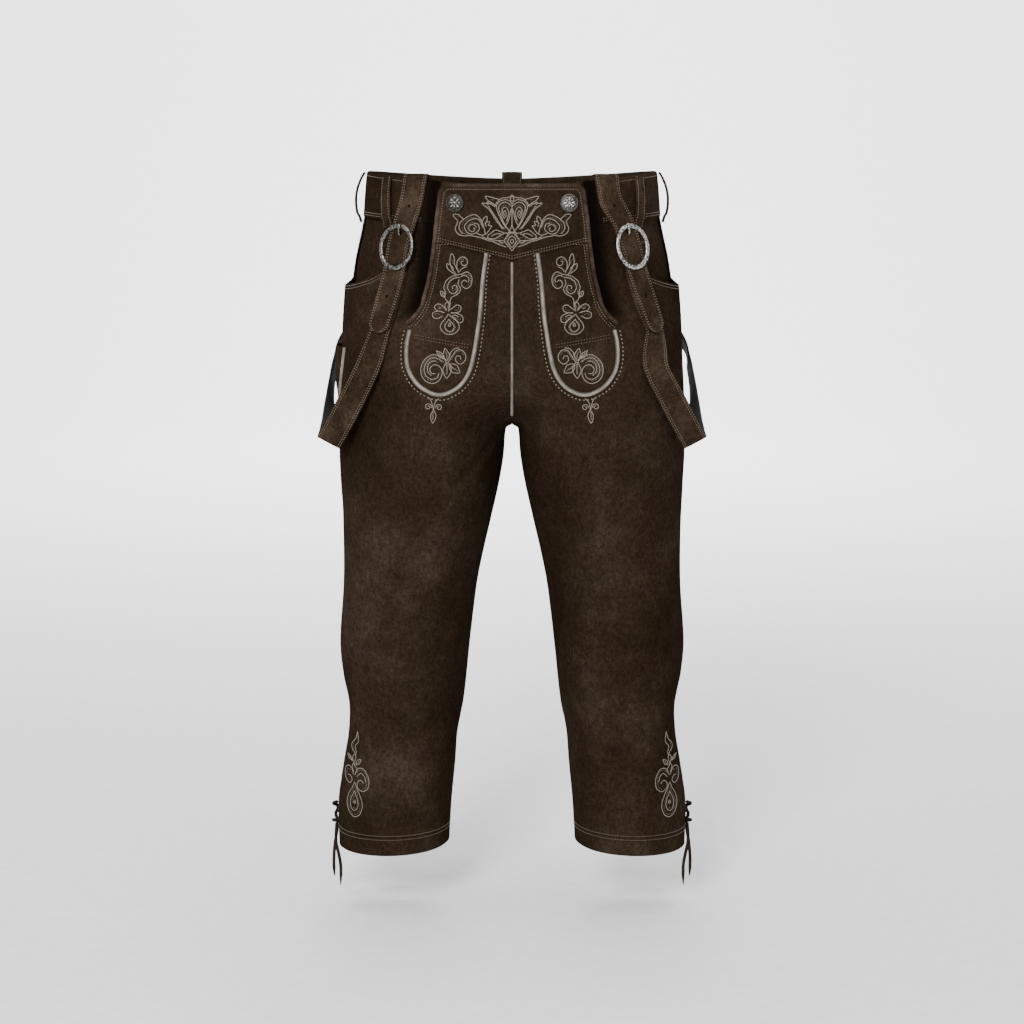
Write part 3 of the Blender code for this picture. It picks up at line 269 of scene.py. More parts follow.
def square_to(along: Array, vectors: Array) -> Array:
    """Return the vectors turned square to a route's direction, at length one."""
    return unit(vectors - along * np.sum(vectors * along, axis=1, keepdims=True))


def length_of(route: Array) -> float:
    """Return a route's length."""
    return float(np.linalg.norm(np.diff(route, axis=0), axis=1).sum())


def run_of(route: Array) -> Array:
    """Return how far along a route each of its points lies."""
    return np.concatenate([[0.0], np.cumsum(np.linalg.norm(np.diff(route, axis=0), axis=1))])


def read_at(places: Array, run: Array, values: Array) -> Array:
    """Return the rows of values at places along a run."""
    return np.stack([np.interp(places, run, column) for column in values.T], axis=1)


def spline(points: Sequence, count: int) -> Array:
    """Return evenly spaced points on a smooth curve through the given ones.

    Args:
        points: The points that the curve runs through.
        count: How many points to return.

    Returns:
        An array with a row for each point.
    """
    knots = np.array(points, float)
    ends = np.vstack([2 * knots[0] - knots[1], knots, 2 * knots[-1] - knots[-2]])
    t = even(25)[:-1, None]
    parts = []
    for a, b, c, d in zip(ends, ends[1:], ends[2:], ends[3:]):
        parts.append(
            0.5 * (2 * b + (c - a) * t + (2 * a - 5 * b + 4 * c - d) * t * t + (3 * b - a - 3 * c + d) * t**3))
    fine = np.vstack(parts + [knots[-1:]])
    run = run_of(fine)
    return read_at(np.linspace(0.0, run[-1], count), run, fine)


class Column:
    """One column of a short table, read at any key along a smooth curve."""

    def __init__(self, rows: Sequence[tuple[float, ...]], place: int) -> None:
        """Keep the column at the given place, with the rows in rising order of their key."""
        ordered = sorted(rows)
        self.keys = np.array([row[0] for row in ordered])
        self.values = np.array([row[place] for row in ordered])

    def __call__(self, key: Amount) -> Array:
        """Return the column's value at each key."""
        keys, values = self.keys, self.values
        key = np.clip(key, keys[0], keys[-1])
        at = np.clip(np.searchsorted(keys, key, side="left") - 1, 0, len(keys) - 2)
        before = np.maximum(at - 1, 0)
        after = np.minimum(at + 2, len(keys) - 1)
        span = keys[at + 1] - keys[at]
        slope_low = (values[at + 1] - values[before]) / (keys[at + 1] - keys[before]) * span
        slope_high = (values[after] - values[at]) / (keys[after] - keys[at]) * span
        t = (key - keys[at]) / span
        return (
            values[at] * (2 * t**3 - 3 * t**2 + 1) + slope_low * (t**3 - 2 * t**2 + t) + values[at + 1]
            * (3 * t**2 - 2 * t**3) + slope_high * (t**3 - t**2))


@dataclass(frozen=True)
class WornForm:
    """The surface that the filled-out garment follows, with its openings and seams."""

    front_rise: float = 0.07
    back_rise: float = 0.1
    gap_rounding: float = 0.006
    roundness: float = 0.57
    side_fullness: float = 0.6
    front_fullness: float = 0.7
    flap_stand: float = 0.0042
    half_width: Column = Column(BODY, 1)
    front_depth: Column = Column(BODY, 2)
    back_depth: Column = Column(BODY, 3)
    leg_gap: Column = Column(LEG_GAP, 1)
    mouth_x: Column = Column(POCKET_MOUTH, 1)
    flap_x: Column = Column(FLAP_EDGE, 1)

    def half_gap(self, z: Array) -> Array:
        """Return half the gap between the legs, which rounds off into the crotch."""
        below = CROTCH - z
        share = np.clip(below / self.gap_rounding, 0.0, 1.0)
        return np.where(below > 0.0, self.leg_gap(z) * np.sqrt(1.0 - (1.0 - share) ** 2), 0.0)

    def ring(self, face: Face, s: Array, z: Array) -> Array:
        """Return the right half of the body's ring at a height, as x + iy.

        Args:
            face: Front or back.
            s: From the side seam at 0 to the middle seam or inseam at 1.
            z: The height.

        Returns:
            The ring's points as complex numbers.
        """
        front = face is Face.FRONT
        way = -1.0 if front else 1.0
        rise = self.front_rise if front else self.back_rise
        split_top = -0.08 if front else -0.04
        half = self.half_width(z)
        depth = (self.front_depth if front else self.back_depth)(z)
        far = 1j * way * depth
        climb = np.clip((z - CROTCH) / rise, 0.0, 1.0)
        reach = np.sqrt(1.0 - (1.0 - climb) ** 2)
        middle = self.half_gap(z) + far * reach
        torso = bezier(half, half + far * self.side_fullness, half * self.front_fullness + far, far, s)
        spread = self.leg_gap(z) * smooth((-0.185 - z) / 0.11)
        crown = mix(spread, half, 0.5) + far
        arm = (half - spread) * 0.5 * self.roundness
        outer_leg = bezier(half, half + far * self.roundness, crown + arm, crown, s * 2.0)
        pull = arm * reach + far * (1.0 - reach) * self.roundness * (1.0 - reach)
        inner_leg = bezier(crown, crown - arm, middle + pull, middle, s * 2.0 - 1.0)
        leg = np.where(s < 0.5, outer_leg, inner_leg)
        split = smooth((split_top - z) / (split_top - CROTCH - rise))
        return torso + (leg - torso) * split

    def base(self, face: Face, s: Array, z: Array) -> Array:
        """Return the ring's points in space, with no lift."""
        ring = self.ring(face, s, z)
        return np.stack([ring.real, ring.imag, z + 0.0 * s], axis=-1)

    def swell(self, face: Face, s: Array, z: Array) -> Array:
        """Return how far the leather gapes below the hip pocket's mouth."""
        front = face is Face.FRONT
        across = 1.0 - smooth(s / (0.42 if front else 0.2))
        below = smooth((z + 0.205) / 0.105)
        mouth_level, mouth_soft = (0.085, 0.025) if front else (0.108, 0.012)
        above_mouth = 1.0 - smooth((z + mouth_level) / mouth_soft)
        return np.where((z < -0.21) | (s > 0.5), 0.0, 0.0078 * across * below * above_mouth)

    def folds(self, face: Face, hand: Hand, s: Array, z: Array) -> Array:
        """Add up the soft troughs and ridges that cross each spot."""
        total = 0.0 * (s + z)
        soft = tuple((*row[:5], row[5] * FOLD_DEPTH) for row in FOLDS[face, hand])
        for at_s, at_z, wide, tall, slope, depth in CREASES[face] + soft:
            along = (s - at_s) / wide
            across = (z - at_z - slope * (s - at_s)) / tall
            total = total + depth * np.exp(-along * along - across * across)
        return total

    def skin(self, face: Face, hand: Hand, s: Array, z: Array, lift: Amount = 0.0) -> Pair:
        """Return points above the body surface, and the outward normals there.

        Args:
            face: Front or back.
            hand: Which side.
            s: From the side seam at 0 to the middle at 1.
            z: The height.
            lift: How far above the surface.

        Returns:
            The points and the normals.
        """
        s, z = np.broadcast_arrays(np.asarray(s, float), np.asarray(z, float))
        step = np.where(s < 0.5, 0.004, -0.004)
        here = self.base(face, s, z)
        along = (self.base(face, s + step, z) - here) / step[..., None]
        up = self.base(face, s, z + 0.003) - self.base(face, s, z - 0.003)
        normal = unit(np.cross(along, up) if face is Face.BACK else np.cross(up, along))
        total = lift + self.swell(face, s, z) + self.folds(face, hand, s, z)
        point = here + normal * total[..., None]
        flip = np.array([hand.value, 1.0, 1.0])
        return point * flip, normal * flip

    def s_at(self, face: Face, x: Array, z: Array) -> Array:
        """Return the place on the ring whose distance from the middle is x."""
        low = np.zeros(np.broadcast(x, z).shape)
        return bisect(lambda s: self.ring(face, s, z).real > x, low, low + 1.0)

    def above(self, face: Face, x: Array, z: Array, lift: Amount = 0.0) -> Pair:
        """Return points and normals above the front or back, at any x.

        Args:
            face: Front or back.
            x: The place across, with its sign.
            z: The height.
            lift: How far above the surface.

        Returns:
            The points and the normals.
        """
        x, z, lift = np.broadcast_arrays(np.asarray(x, float), np.asarray(z, float), np.asarray(lift, float))
        s = self.s_at(face, np.abs(x), z)
        left, left_normal = self.skin(face, Hand.LEFT, s, z, lift)
        right, right_normal = self.skin(face, Hand.RIGHT, s, z, lift)
        on_left = (x < 0.0)[..., None]
        return np.where(on_left, left, right), np.where(on_left, left_normal, right_normal)

    def flap_lift(self, x: Array, z: Array) -> Array:
        """Return how far the drop front stands off the body."""
        rise = smooth((z + 0.182) / 0.058)
        beside = np.where(z > SLIT_END, 1.0, smooth((0.13 - np.abs(x)) / 0.035))
        return self.flap_stand * rise * beside

    def on_flap(self, x: Array, z: Array, lift: Amount = 0.0) -> Pair:
        """Return points and normals above the drop front and what runs on below it."""
        return self.above(Face.FRONT, x, z, lift + self.flap_lift(x, z))

    def waist_top(self, face: Face, x: Array) -> Array:
        """Return the height of the waistband's top edge."""
        dip = 0.0145 if face is Face.FRONT else 0.01
        return WAIST_TOP - dip * (1.0 - np.minimum(1.0, np.abs(x) / 0.1645) ** 1.5)

    def waist_seam(self, x: Array) -> Array:
        """Return the height of the seam below the waistband."""
        return WAIST_SEAM - 0.01 * (1.0 - np.minimum(1.0, np.abs(x) / 0.1693) ** 1.5)

    def yoke_seam(self, x: Array) -> Array:
        """Return the height of the seam below the yoke, which is a shallow V."""
        return YOKE_LOW + 0.0195 * np.abs(x) / YOKE_HALF

    def beside(self, hand: Hand, y: Array, z: Array, lift: Amount = 0.0) -> Pair:
        """Return points and normals near the side seam, at a depth y.

        Args:
            hand: The viewer's side.
            y: The depth, negative towards the front.
            z: The height.
            lift: How far above the surface.

        Returns:
            The points and the normals.
        """
        y, z = np.broadcast_arrays(np.asarray(y, float), np.asarray(z, float))
        results = []
        for face in Face:
            low, high = np.zeros(y.shape), np.full(y.shape, 0.6)
            s = bisect(lambda s: np.abs(self.ring(face, s, z).imag) < np.abs(y), low, high)
            results.append(self.skin(face, hand, s, z, lift))
        in_front = (y < 0.0)[..., None]
        return tuple(np.where(in_front, results[0][k], results[1][k]) for k in range(2))


def deselect_all() -> None:
    """Leave nothing selected, so that an operator acts only on what is made next."""
    if bpy.context.object and bpy.context.object.mode != "OBJECT":
        bpy.ops.object.mode_set(mode="OBJECT")
    bpy.ops.object.select_all(action="DESELECT")


def new_mesh_object(name: str, points: Array, faces: Sequence) -> Piece:
    """Make a smooth-shaded mesh object.

    Args:
        name: The piece's name.
        points: Its vertices.
        faces: Its faces as vertex numbers.

    Returns:
        The object, linked to the scene.
    """
    mesh = bpy.data.meshes.new(name)
    mesh.from_pydata(points.tolist(), [], faces)
    mesh.shade_smooth()
    piece = bpy.data.objects.new(name, mesh)
    bpy.context.scene.collection.objects.link(piece)
    return piece


def shell(name: str, outer: Array, inner: Array, keep: Array | None = None, rim: float = 0.4) -> Piece:
    """Close a grid of outer points and the matching inner ones into one wall with round edges.

    Args:
        name: The piece's name.
        outer: Rows and columns of points on the outside.
        inner: The same for the inside.
        keep: Which cells are leather; all of them if left out.
        rim: How far the edge bulges, as a share of the wall.

    Returns:
        The object.
    """
    rows, cols = outer.shape[:2]
    total = rows * cols
    index = np.arange(total).reshape(rows, cols)
    quads = np.stack([index[:-1, :-1], index[:-1, 1:], index[1:, 1:], index[1:, :-1]], axis=-1)
    quads = quads[keep] if keep is not None else quads.reshape(-1, 4)
    flat = outer.reshape(-1, 3)
    flat_in = inner.reshape(-1, 3)
    first = quads[len(quads) // 2]
    facing = np.cross(flat[first[1]] - flat[first[0]], flat[first[3]] - flat[first[0]])
    if np.dot(facing, flat[first[0]] - flat_in[first[0]]) < 0.0:
        quads = quads[:, ::-1]
    edges = np.stack([quads, np.roll(quads, -1, axis=1)], axis=-1).reshape(-1, 2)
    keys = edges[:, 0] * total + edges[:, 1]
    border = edges[~np.isin(keys, edges[:, 1] * total + edges[:, 0])]
    push = np.zeros((total, 3))
    centres = flat[quads].mean(axis=1)
    for corner in range(4):
        np.add.at(push, quads[:, corner], flat[quads[:, corner]] - centres)
    through = unit(flat - flat_in)
    push -= through * np.sum(push * through, axis=1, keepdims=True)
    wall = np.linalg.norm(flat - flat_in, axis=1, keepdims=True)
    middle = (flat + flat_in) / 2.0 + unit(push) * wall * rim
    a, b = border[:, 0], border[:, 1]
    faces = np.vstack(
        [
            quads, quads[:, ::-1] + total, np.stack([b, a, a + 2 * total, b + 2 * total], axis=1),
            np.stack([b + 2 * total, a + 2 * total, a + total, b + total], axis=1)])
    used, faces = np.unique(faces, return_inverse=True)
    points = np.vstack([flat, flat_in, middle])[used]
    return new_mesh_object(name, points, faces.reshape(-1, 4).tolist())


def frames_through(centres: Array, normals: Array) -> Pair:
    """Return sideways and outward vectors that stay square to a route.

    Args:
        centres: The route's points.
        normals: The surface's normals along it.

    Returns:
        The sideways and the outward vectors.
    """
    along = unit(np.gradient(centres, axis=0))
    out = square_to(along, normals)
    return np.cross(out, along), out


def sweep(name: str, centres: Array, across: Array, out: Array, profile: Array) -> Piece:
    """Sweep a closed profile along a route and close both ends.

    Args:
        name: The piece's name.
        centres: The route's points.
        across: The sideways vectors.
        out: The outward vectors.
        profile: Sideways and outward distances, one section for all or one for each point.

    Returns:
        The object.
    """
    count = len(centres)
    sections = np.broadcast_to(profile, (count, *profile.shape[-2:]))
    points = centres[:, None] + across[:, None] * sections[..., :1] + out[:, None] * sections[..., 1:]
    sides = points.shape[1]
    index = np.arange(count * sides).reshape(count, sides)
    after = np.roll(index, -1, axis=1)
    quads = np.stack([index[:-1], after[:-1], after[1:], index[1:]], axis=-1).reshape(-1, 4).tolist()
    faces = quads + [index[0][::-1].tolist(), index[-1].tolist()]
    piece = new_mesh_object(name, points.reshape(-1, 3), faces)
    form = bmesh.new()
    form.from_mesh(piece.data)
    bmesh.ops.recalc_face_normals(form, faces=form.faces)
    form.to_mesh(piece.data)
    form.free()
    piece.data.set_sharp_from_angle(angle=math.radians(60))
    return piece


def strap_section(width: float, thickness: float, pad: float = 0.0) -> Array:
    """Return a strap's section with round edges and a slightly padded face.

    Args:
        width: The strap's width.
        thickness: Its thickness.
        pad: How far the face swells between the rows of sewing.

    Returns:
        The section's points.
    """
    half, thick = width / 2.0, thickness / 2.0
    turn = np.linspace(-math.pi / 2, math.pi / 2, 7)
    right = np.stack([half - thick + np.cos(turn) * thick, np.sin(turn) * thick], axis=1)
    sew = half - 0.0052
    top = np.array([[sew + 0.0012, thick], [sew, thick + pad * 0.5], [sew * 0.7, thick + pad], [0.0, thick + pad]])
    upper = np.vstack([right[3:], top])
    lower = np.array([[0.0, -thick], [sew, -thick], [half - thick, -thick]])
    half_section = np.vstack([lower, right[1:3], upper])
    other = half_section[1:-1][::-1] * np.array([-1.0, 1.0])
    return np.vstack([half_section, other])


def bead_section(width: float, height: float, steps: int = 9) -> Array:
    """Return the section of a rounded strip that lies on a surface."""
    turn = np.linspace(math.pi, 0.0, steps)
    dome = np.stack([np.cos(turn) * width / 2.0, np.sin(turn) * height], axis=1)
    return np.vstack([dome, [[0.0, -0.0002]]])


def round_section(radius: float, sides: int = 10) -> Array:
    """Return a round section."""
    turn = circle(sides)
    return np.stack([np.cos(turn) * radius, np.sin(turn) * radius], axis=1)


class Nodes:
    """A small helper that lays out one material's shader nodes."""

    def __init__(self, name: str) -> None:
        """Make a material with an empty Principled surface."""
        self.material = bpy.data.materials.new(name)
        self.material.use_nodes = True
        self.tree = self.material.node_tree
        self.shader = self.tree.nodes["Principled BSDF"]
        self.coords = self.tree.nodes.new("ShaderNodeTexCoord")

    def link(self, start: Socket, end: Socket) -> None:
        """Join two sockets."""
        self.tree.links.new(start, end)

    def put(self, name: str, value: Socket | float | tuple) -> None:
        """Feed the surface's socket of that name with another socket or a plain value."""
        socket = self.shader.inputs[name]
        if isinstance(value, Socket):
            self.link(value, socket)
        else:
            socket.default_value = value

    def noise(self, scale: float, detail: float, rough: float = 0.55, stretch: tuple = (1.0, 1.0, 1.0)):
        """Return the value of a noise on Object coordinates.

        Args:
            scale: How many features a metre.
            detail: How many finer layers.
            rough: How strong those are.
            stretch: A scale for each axis.

        Returns:
            The output socket.
        """
        mapping = self.tree.nodes.new("ShaderNodeMapping")
        mapping.inputs["Scale"].default_value = stretch
        self.link(self.coords.outputs["Object"], mapping.inputs["Vector"])
        noise = self.tree.nodes.new("ShaderNodeTexNoise")
        noise.inputs["Scale"].default_value = scale
        noise.inputs["Detail"].default_value = detail
        noise.inputs["Roughness"].default_value = rough
        self.link(mapping.outputs["Vector"], noise.inputs["Vector"])
        return noise.outputs["Fac"]

    def ramp(self, source: Socket, stops: Sequence[tuple[float, Sequence[float]]]):
        """Return a colour that follows a value.

        Args:
            source: The value.
            stops: Each stop's place and colour.

        Returns:
            The colour socket.
        """
        ramp = self.tree.nodes.new("ShaderNodeValToRGB")
        elements = ramp.color_ramp.elements
        while len(elements) < len(stops):
            elements.new(0.5)
        for element, (place, colour) in zip(elements, stops):
            element.position = place
            element.color = (*colour, 1.0)
        self.link(source, ramp.inputs["Fac"])
        return ramp.outputs["Color"]

    def blend(self, share, low, high, mode: str = "MIX"):
        """Mix two colours.

        Args:
            share: A number or a socket.
            low: The first colour, as a socket or a colour.
            high: The second colour.
            mode: The way they mix.

        Returns:
            The mixed colour socket.
        """
        node = self.tree.nodes.new("ShaderNodeMix")
        node.data_type = "RGBA"
        node.blend_type = mode
        for socket, value in ((node.inputs["Factor"], share), (node.inputs[6], low), (node.inputs[7], high)):
            if isinstance(value, Socket):
                self.link(value, socket)
            elif isinstance(value, (int, float)):
                socket.default_value = value
            else:
                socket.default_value = (*value, 1.0)
        return node.outputs[2]

    def maths(self, operation: str, first, second=0.0):
        """Combine two values, each a number or a socket, and return the result's socket."""
        node = self.tree.nodes.new("ShaderNodeMath")
        node.operation = operation
        for socket, value in zip(node.inputs, (first, second)):
            if isinstance(value, Socket):
                self.link(value, socket)
            else:
                socket.default_value = value
        return node.outputs["Value"]

    def bump(self, height, distance: float, strength: float = 1.0, below=None):
        """Roughen the surface by a height.

        Args:
            height: The height's socket.
            distance: How deep it is, in metres.
            strength: How strong it looks.
            below: Another bump's normal that this one adds to.

        Returns:
            The normal's socket.
        """
        node = self.tree.nodes.new("ShaderNodeBump")
        node.inputs["Distance"].default_value = distance
        node.inputs["Strength"].default_value = strength
        self.link(height, node.inputs["Height"])
        if below is not None:
            self.link(below, node.inputs["Normal"])
        return node.outputs["Normal"]

    def attribute(self, name: str):
        """Return a mesh attribute's value."""
        node = self.tree.nodes.new("ShaderNodeAttribute")
        node.attribute_name = name
        return node.outputs["Fac"]


@dataclass(frozen=True)
class SuedeFinish:
    """Napped leather: cloudy colour, a fine nap and a soft sheen."""

    name: str
    dark: Triple = (0.0105, 0.0068, 0.004)
    middle: Triple = (0.0168, 0.0114, 0.0074)
    light: Triple = (0.029, 0.0212, 0.0156)
    cloud: float = 8.0
    nap: float = 620.0
    roughness: float = 0.95
    # Whether the colour falls to near-black as painted shade where the shade attribute is set
    shaded: bool = False

    def build(self) -> Material:
        """Make the material."""
        nodes = Nodes(self.name)
        clouds = nodes.noise(self.cloud, 8.0, 0.58)
        patches = nodes.noise(self.cloud * 6.0, 6.0, 0.7)
        tints = nodes.noise(self.cloud * 1.7, 3.0, 0.5)
        grain = nodes.noise(self.nap, 3.0, 0.65)
        streaks = nodes.noise(self.nap * 0.42, 4.0, 0.65, (1.0, 1.0, 0.7))
        spread = nodes.maths("ADD", nodes.maths("MULTIPLY", clouds, 0.74), nodes.maths("MULTIPLY", patches, 0.26))
        colour = nodes.ramp(spread, ((0.36, self.dark), (0.52, self.middle), (0.67, self.light)))
        tint = nodes.ramp(tints, ((0.36, (0.98, 1.01, 0.95)), (0.64, (1.04, 0.98, 1.03))))
        colour = nodes.blend(1.0, colour, tint, "MULTIPLY")
        flecks = nodes.ramp(streaks, ((0.3, (0.45, 0.45, 0.45)), (0.72, (1.6, 1.58, 1.56))))
        colour = nodes.blend(0.62, colour, flecks, "MULTIPLY")
        speckle = nodes.ramp(grain, ((0.32, (0.55, 0.55, 0.55)), (0.72, (1.6, 1.56, 1.52))))
        colour = nodes.blend(0.7, colour, speckle, "MULTIPLY")
        wear = nodes.attribute("wear")
        colour = nodes.blend(nodes.maths("MULTIPLY", wear, 0.62), colour, self.light)
        # Painted shade: near-black where the shade attribute marks the gap beside the drop front
        if self.shaded:
            colour = nodes.blend(nodes.attribute("shade"), colour, (0.0018, 0.0014, 0.001))
        nodes.put("Base Color", colour)
        nodes.put("Roughness", self.roughness)
        nodes.put("Specular IOR Level", 0.0)
        nodes.put("Sheen Weight", 0.006)
        nodes.put("Sheen Roughness", 0.5)
        nodes.put("Sheen Tint", (0.6, 0.46, 0.34, 1.0))
        normal = nodes.bump(patches, 0.0012, 0.35)
        normal = nodes.bump(streaks, 0.0005, 0.45, normal)
        normal = nodes.bump(grain, 0.0003, 0.6, normal)
        nodes.put("Normal", normal)
        return nodes.material


@dataclass(frozen=True)
class ThreadFinish:
    """Matt thread with a fine twist."""

    name: str
    colour: Triple = (0.225, 0.196, 0.16)
    shade: Triple = (0.085, 0.071, 0.055)

    def build(self) -> Material:
        """Make the material."""
        nodes = Nodes(self.name)
        strands = nodes.noise(1500.0, 2.0, 0.5)
        drift = nodes.noise(90.0, 3.0, 0.6)
        colour = nodes.blend(
            nodes.maths("MULTIPLY", nodes.maths("ADD", strands, drift), 0.55), self.shade, self.colour)
        nodes.put("Base Color", colour)
        nodes.put("Roughness", 0.75)
        nodes.put("Specular IOR Level", 0.25)
        nodes.put("Sheen Weight", 0.15)
        nodes.put("Normal", nodes.bump(strands, 0.0002, 0.6))
        return nodes.material


@dataclass(frozen=True)
class PipingFinish:
    """Grey-beige raw-edge leather, fuzzy, drifting at random to a darker tone, with painted shade along its sides.
    """

    name: str = "piping_suede"
    pale: Triple = (0.25, 0.224, 0.19)
    soiled: Triple = (0.1, 0.086, 0.07)

    def build(self) -> Material:
        """Make the material."""
        nodes = Nodes(self.name)
        drift = nodes.noise(55.0, 4.0, 0.65)
        fuzz = nodes.noise(1300.0, 3.0, 0.6)
        colour = nodes.ramp(drift, ((0.3, self.soiled), (0.62, self.pale)))
        specks = nodes.ramp(fuzz, ((0.3, (0.66, 0.66, 0.66)), (0.7, (1.2, 1.2, 1.2))))
        colour = nodes.blend(0.7, colour, specks, "MULTIPLY")
        # Painted shade: the piping's sides darken by a per-vertex attribute, so that it looks round
        colour = nodes.blend(nodes.attribute("soil"), colour, (0.034, 0.027, 0.02))
        nodes.put("Base Color", colour)
        nodes.put("Roughness", 0.95)
        nodes.put("Specular IOR Level", 0.15)
        nodes.put("Sheen Weight", 0.25)
        nodes.put("Normal", nodes.bump(fuzz, 0.0004, 0.7))
        return nodes.material


@dataclass(frozen=True)
class SilverFinish:
    """Cast silver-coloured metal, darkened in its hollows."""

    name: str = "antique_silver_cast"
    bright: Triple = (0.29, 0.278, 0.257)
    dark: Triple = (0.02, 0.018, 0.015)

    def build(self) -> Material:
        """Make the material."""
        nodes = Nodes(self.name)
        patina = nodes.noise(520.0, 4.0, 0.65)
        scratch = nodes.noise(1700.0, 2.0, 0.5)
        colour = nodes.ramp(patina, ((0.43, self.dark), (0.6, self.bright)))
        colour = nodes.blend(nodes.attribute("hollow"), colour, self.dark)
        nodes.put("Base Color", colour)
        nodes.put("Metallic", 1.0)
        rough = nodes.maths("ADD", nodes.maths("MULTIPLY", patina, -0.25), 0.5)
        nodes.put("Roughness", rough)
        normal = nodes.bump(patina, 0.0007, 0.7)
        nodes.put("Normal", nodes.bump(scratch, 0.0002, 0.3, normal))
        return nodes.material


@dataclass(frozen=True)
class PlainFinish:
    """An even finish with a little drift, for the floor and the inside of straps."""

    name: str
    colour: Triple
    roughness: float = 0.9

    def build(self) -> Material:
        """Make the material."""
        nodes = Nodes(self.name)
        drift = nodes.noise(60.0, 3.0)
        deeper = tuple(channel * 0.85 for channel in self.colour)
        nodes.put("Base Color", nodes.blend(drift, deeper, self.colour))
        nodes.put("Roughness", self.roughness)
        return nodes.material


Finish = SuedeFinish | ThreadFinish | PipingFinish | SilverFinish | PlainFinish


@dataclass
class Workshop:
    """Holds the form and the finishes, and puts each finished piece in place."""

    form: WornForm = field(default_factory=WornForm)
    finishes: dict[str, Material] = field(default_factory=dict)

    def finish(self, made: Finish):
        """Return a finish's material, making it once."""
        if made.name not in self.finishes:
            self.finishes[made.name] = made.build()
        return self.finishes[made.name]

    def place(
            self, piece: Piece, finish: Finish, slot: str,
            replaces: Iterable[str] = ()) -> Piece:
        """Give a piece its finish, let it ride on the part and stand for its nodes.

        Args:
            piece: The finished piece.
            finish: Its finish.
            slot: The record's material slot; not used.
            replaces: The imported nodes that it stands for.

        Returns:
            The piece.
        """
        piece.data.materials.clear()
        piece.data.materials.append(self.finish(finish))
        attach(piece, ROOT)
        names = list(replaces)
        if names:
            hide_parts(*names)
        log.info("%s: %d faces", piece.name, len(piece.data.polygons) if piece.type == "MESH" else 0)
        return piece


# The panels carry painted shade in the gap beside the drop front
SUEDE = SuedeFinish("panel_suede", shaded=True)
FLAP_SUEDE = SuedeFinish("drop_front_suede", light=(0.032, 0.0226, 0.0158))
BINDING_SUEDE = SuedeFinish(
    "rubbed_suede", dark=(0.017, 0.0124, 0.009), middle=(0.033, 0.0245, 0.0182), light=(0.056, 0.043, 0.033),
    cloud=40.0)
STRAP_SUEDE = SuedeFinish(
    "strap_suede", dark=(0.013, 0.0088, 0.0056), middle=(0.0225, 0.0153, 0.01), light=(0.04, 0.0288, 0.0205),
    cloud=24.0)
SEWING = ThreadFinish("sewing_thread", colour=(0.125, 0.101, 0.075), shade=(0.05, 0.038, 0.027))
FANCYWORK = ThreadFinish("embroidery_thread")
PIPING = PipingFinish()
SILVER = SilverFinish()
# A brighter copy of the same silver for the right-hand metal: painted highlight
SILVER_PAINTED_HIGHLIGHT = SilverFinish("polished_silver_cast", bright=(0.72, 0.7, 0.67), dark=(0.05, 0.046, 0.04))
THONG = SuedeFinish(
    "thong_leather", dark=(0.009, 0.0068, 0.0052), middle=(0.018, 0.0135, 0.0105), light=(0.026, 0.019, 0.015),
    cloud=40.0, roughness=0.7)
# Near-black, darker than the strap's suede: painted shade on the hanging straps' inner faces
STRAP_INSIDE = PlainFinish("strap_inside", (0.006, 0.005, 0.0045), 0.8)


def set_attribute(piece: Piece, name: str, values: Array) -> None:
    """Store one number for each of a piece's vertices."""
    layer = piece.data.attributes.new(name, "FLOAT", "POINT")
    layer.data.foreach_set("value", np.asarray(values, np.float32))


def coordinates(piece: Piece) -> Array:
    """Return the places of a piece's vertices, a row for each."""
    points = np.empty(len(piece.data.vertices) * 3, np.float32)
    piece.data.vertices.foreach_get("co", points)
    return points.reshape(-1, 3)


def darken(piece: Piece, form: WornForm) -> None:
    """Paint shade into the leather that lies in the deep gap beside the drop front.

    Args:
        piece: A panel with its outside first.
        form: The worn form.
    """
    x, _, z = coordinates(piece).T
    past_edge = np.abs(x) - form.flap_x(z)
    gap = smooth((0.027 - past_edge) / 0.02) * smooth((z - SLIT_END + 0.004) / 0.022) * (past_edge > -0.0002)
    # Painted shadow of the deep gap beside the drop front, stored as a per-vertex attribute
    set_attribute(piece, "shade", 0.93 * gap)


def rub(piece: Piece, form: WornForm) -> None:
    """Rub the leather pale along the drop front's free edge.

    Args:
        piece: A piece of the drop front.
        form: The worn form.
    """
    x, _, z = coordinates(piece).T
    inside = np.minimum(form.flap_x(z) - np.abs(x), YOKE_TOP - z)
    set_attribute(piece, "wear", smooth((0.008 - inside) / 0.004) * smooth((z - SLIT_END) / 0.012))


def soil_sides(piece: Piece, count: int, section: Array, least: float = 0.0) -> None:
    """Paint shade on a piping's sides, more on the one turned away from the middle.

    Args:
        piece: The swept strip.
        count: How many sections it has.
        section: Its section.
        least: The least darkening, all over.
    """
    share = section[:, 0] / np.abs(section[:, 0]).max()
    soil = 0.85 * smooth((np.abs(share) - 0.35) / 0.6) + 0.45 * smooth((share + 0.2) / 0.8)
    # Painted shade across the piping, stored as a per-vertex attribute
    set_attribute(piece, "soil", np.tile(np.clip(soil, least, 0.9), count))


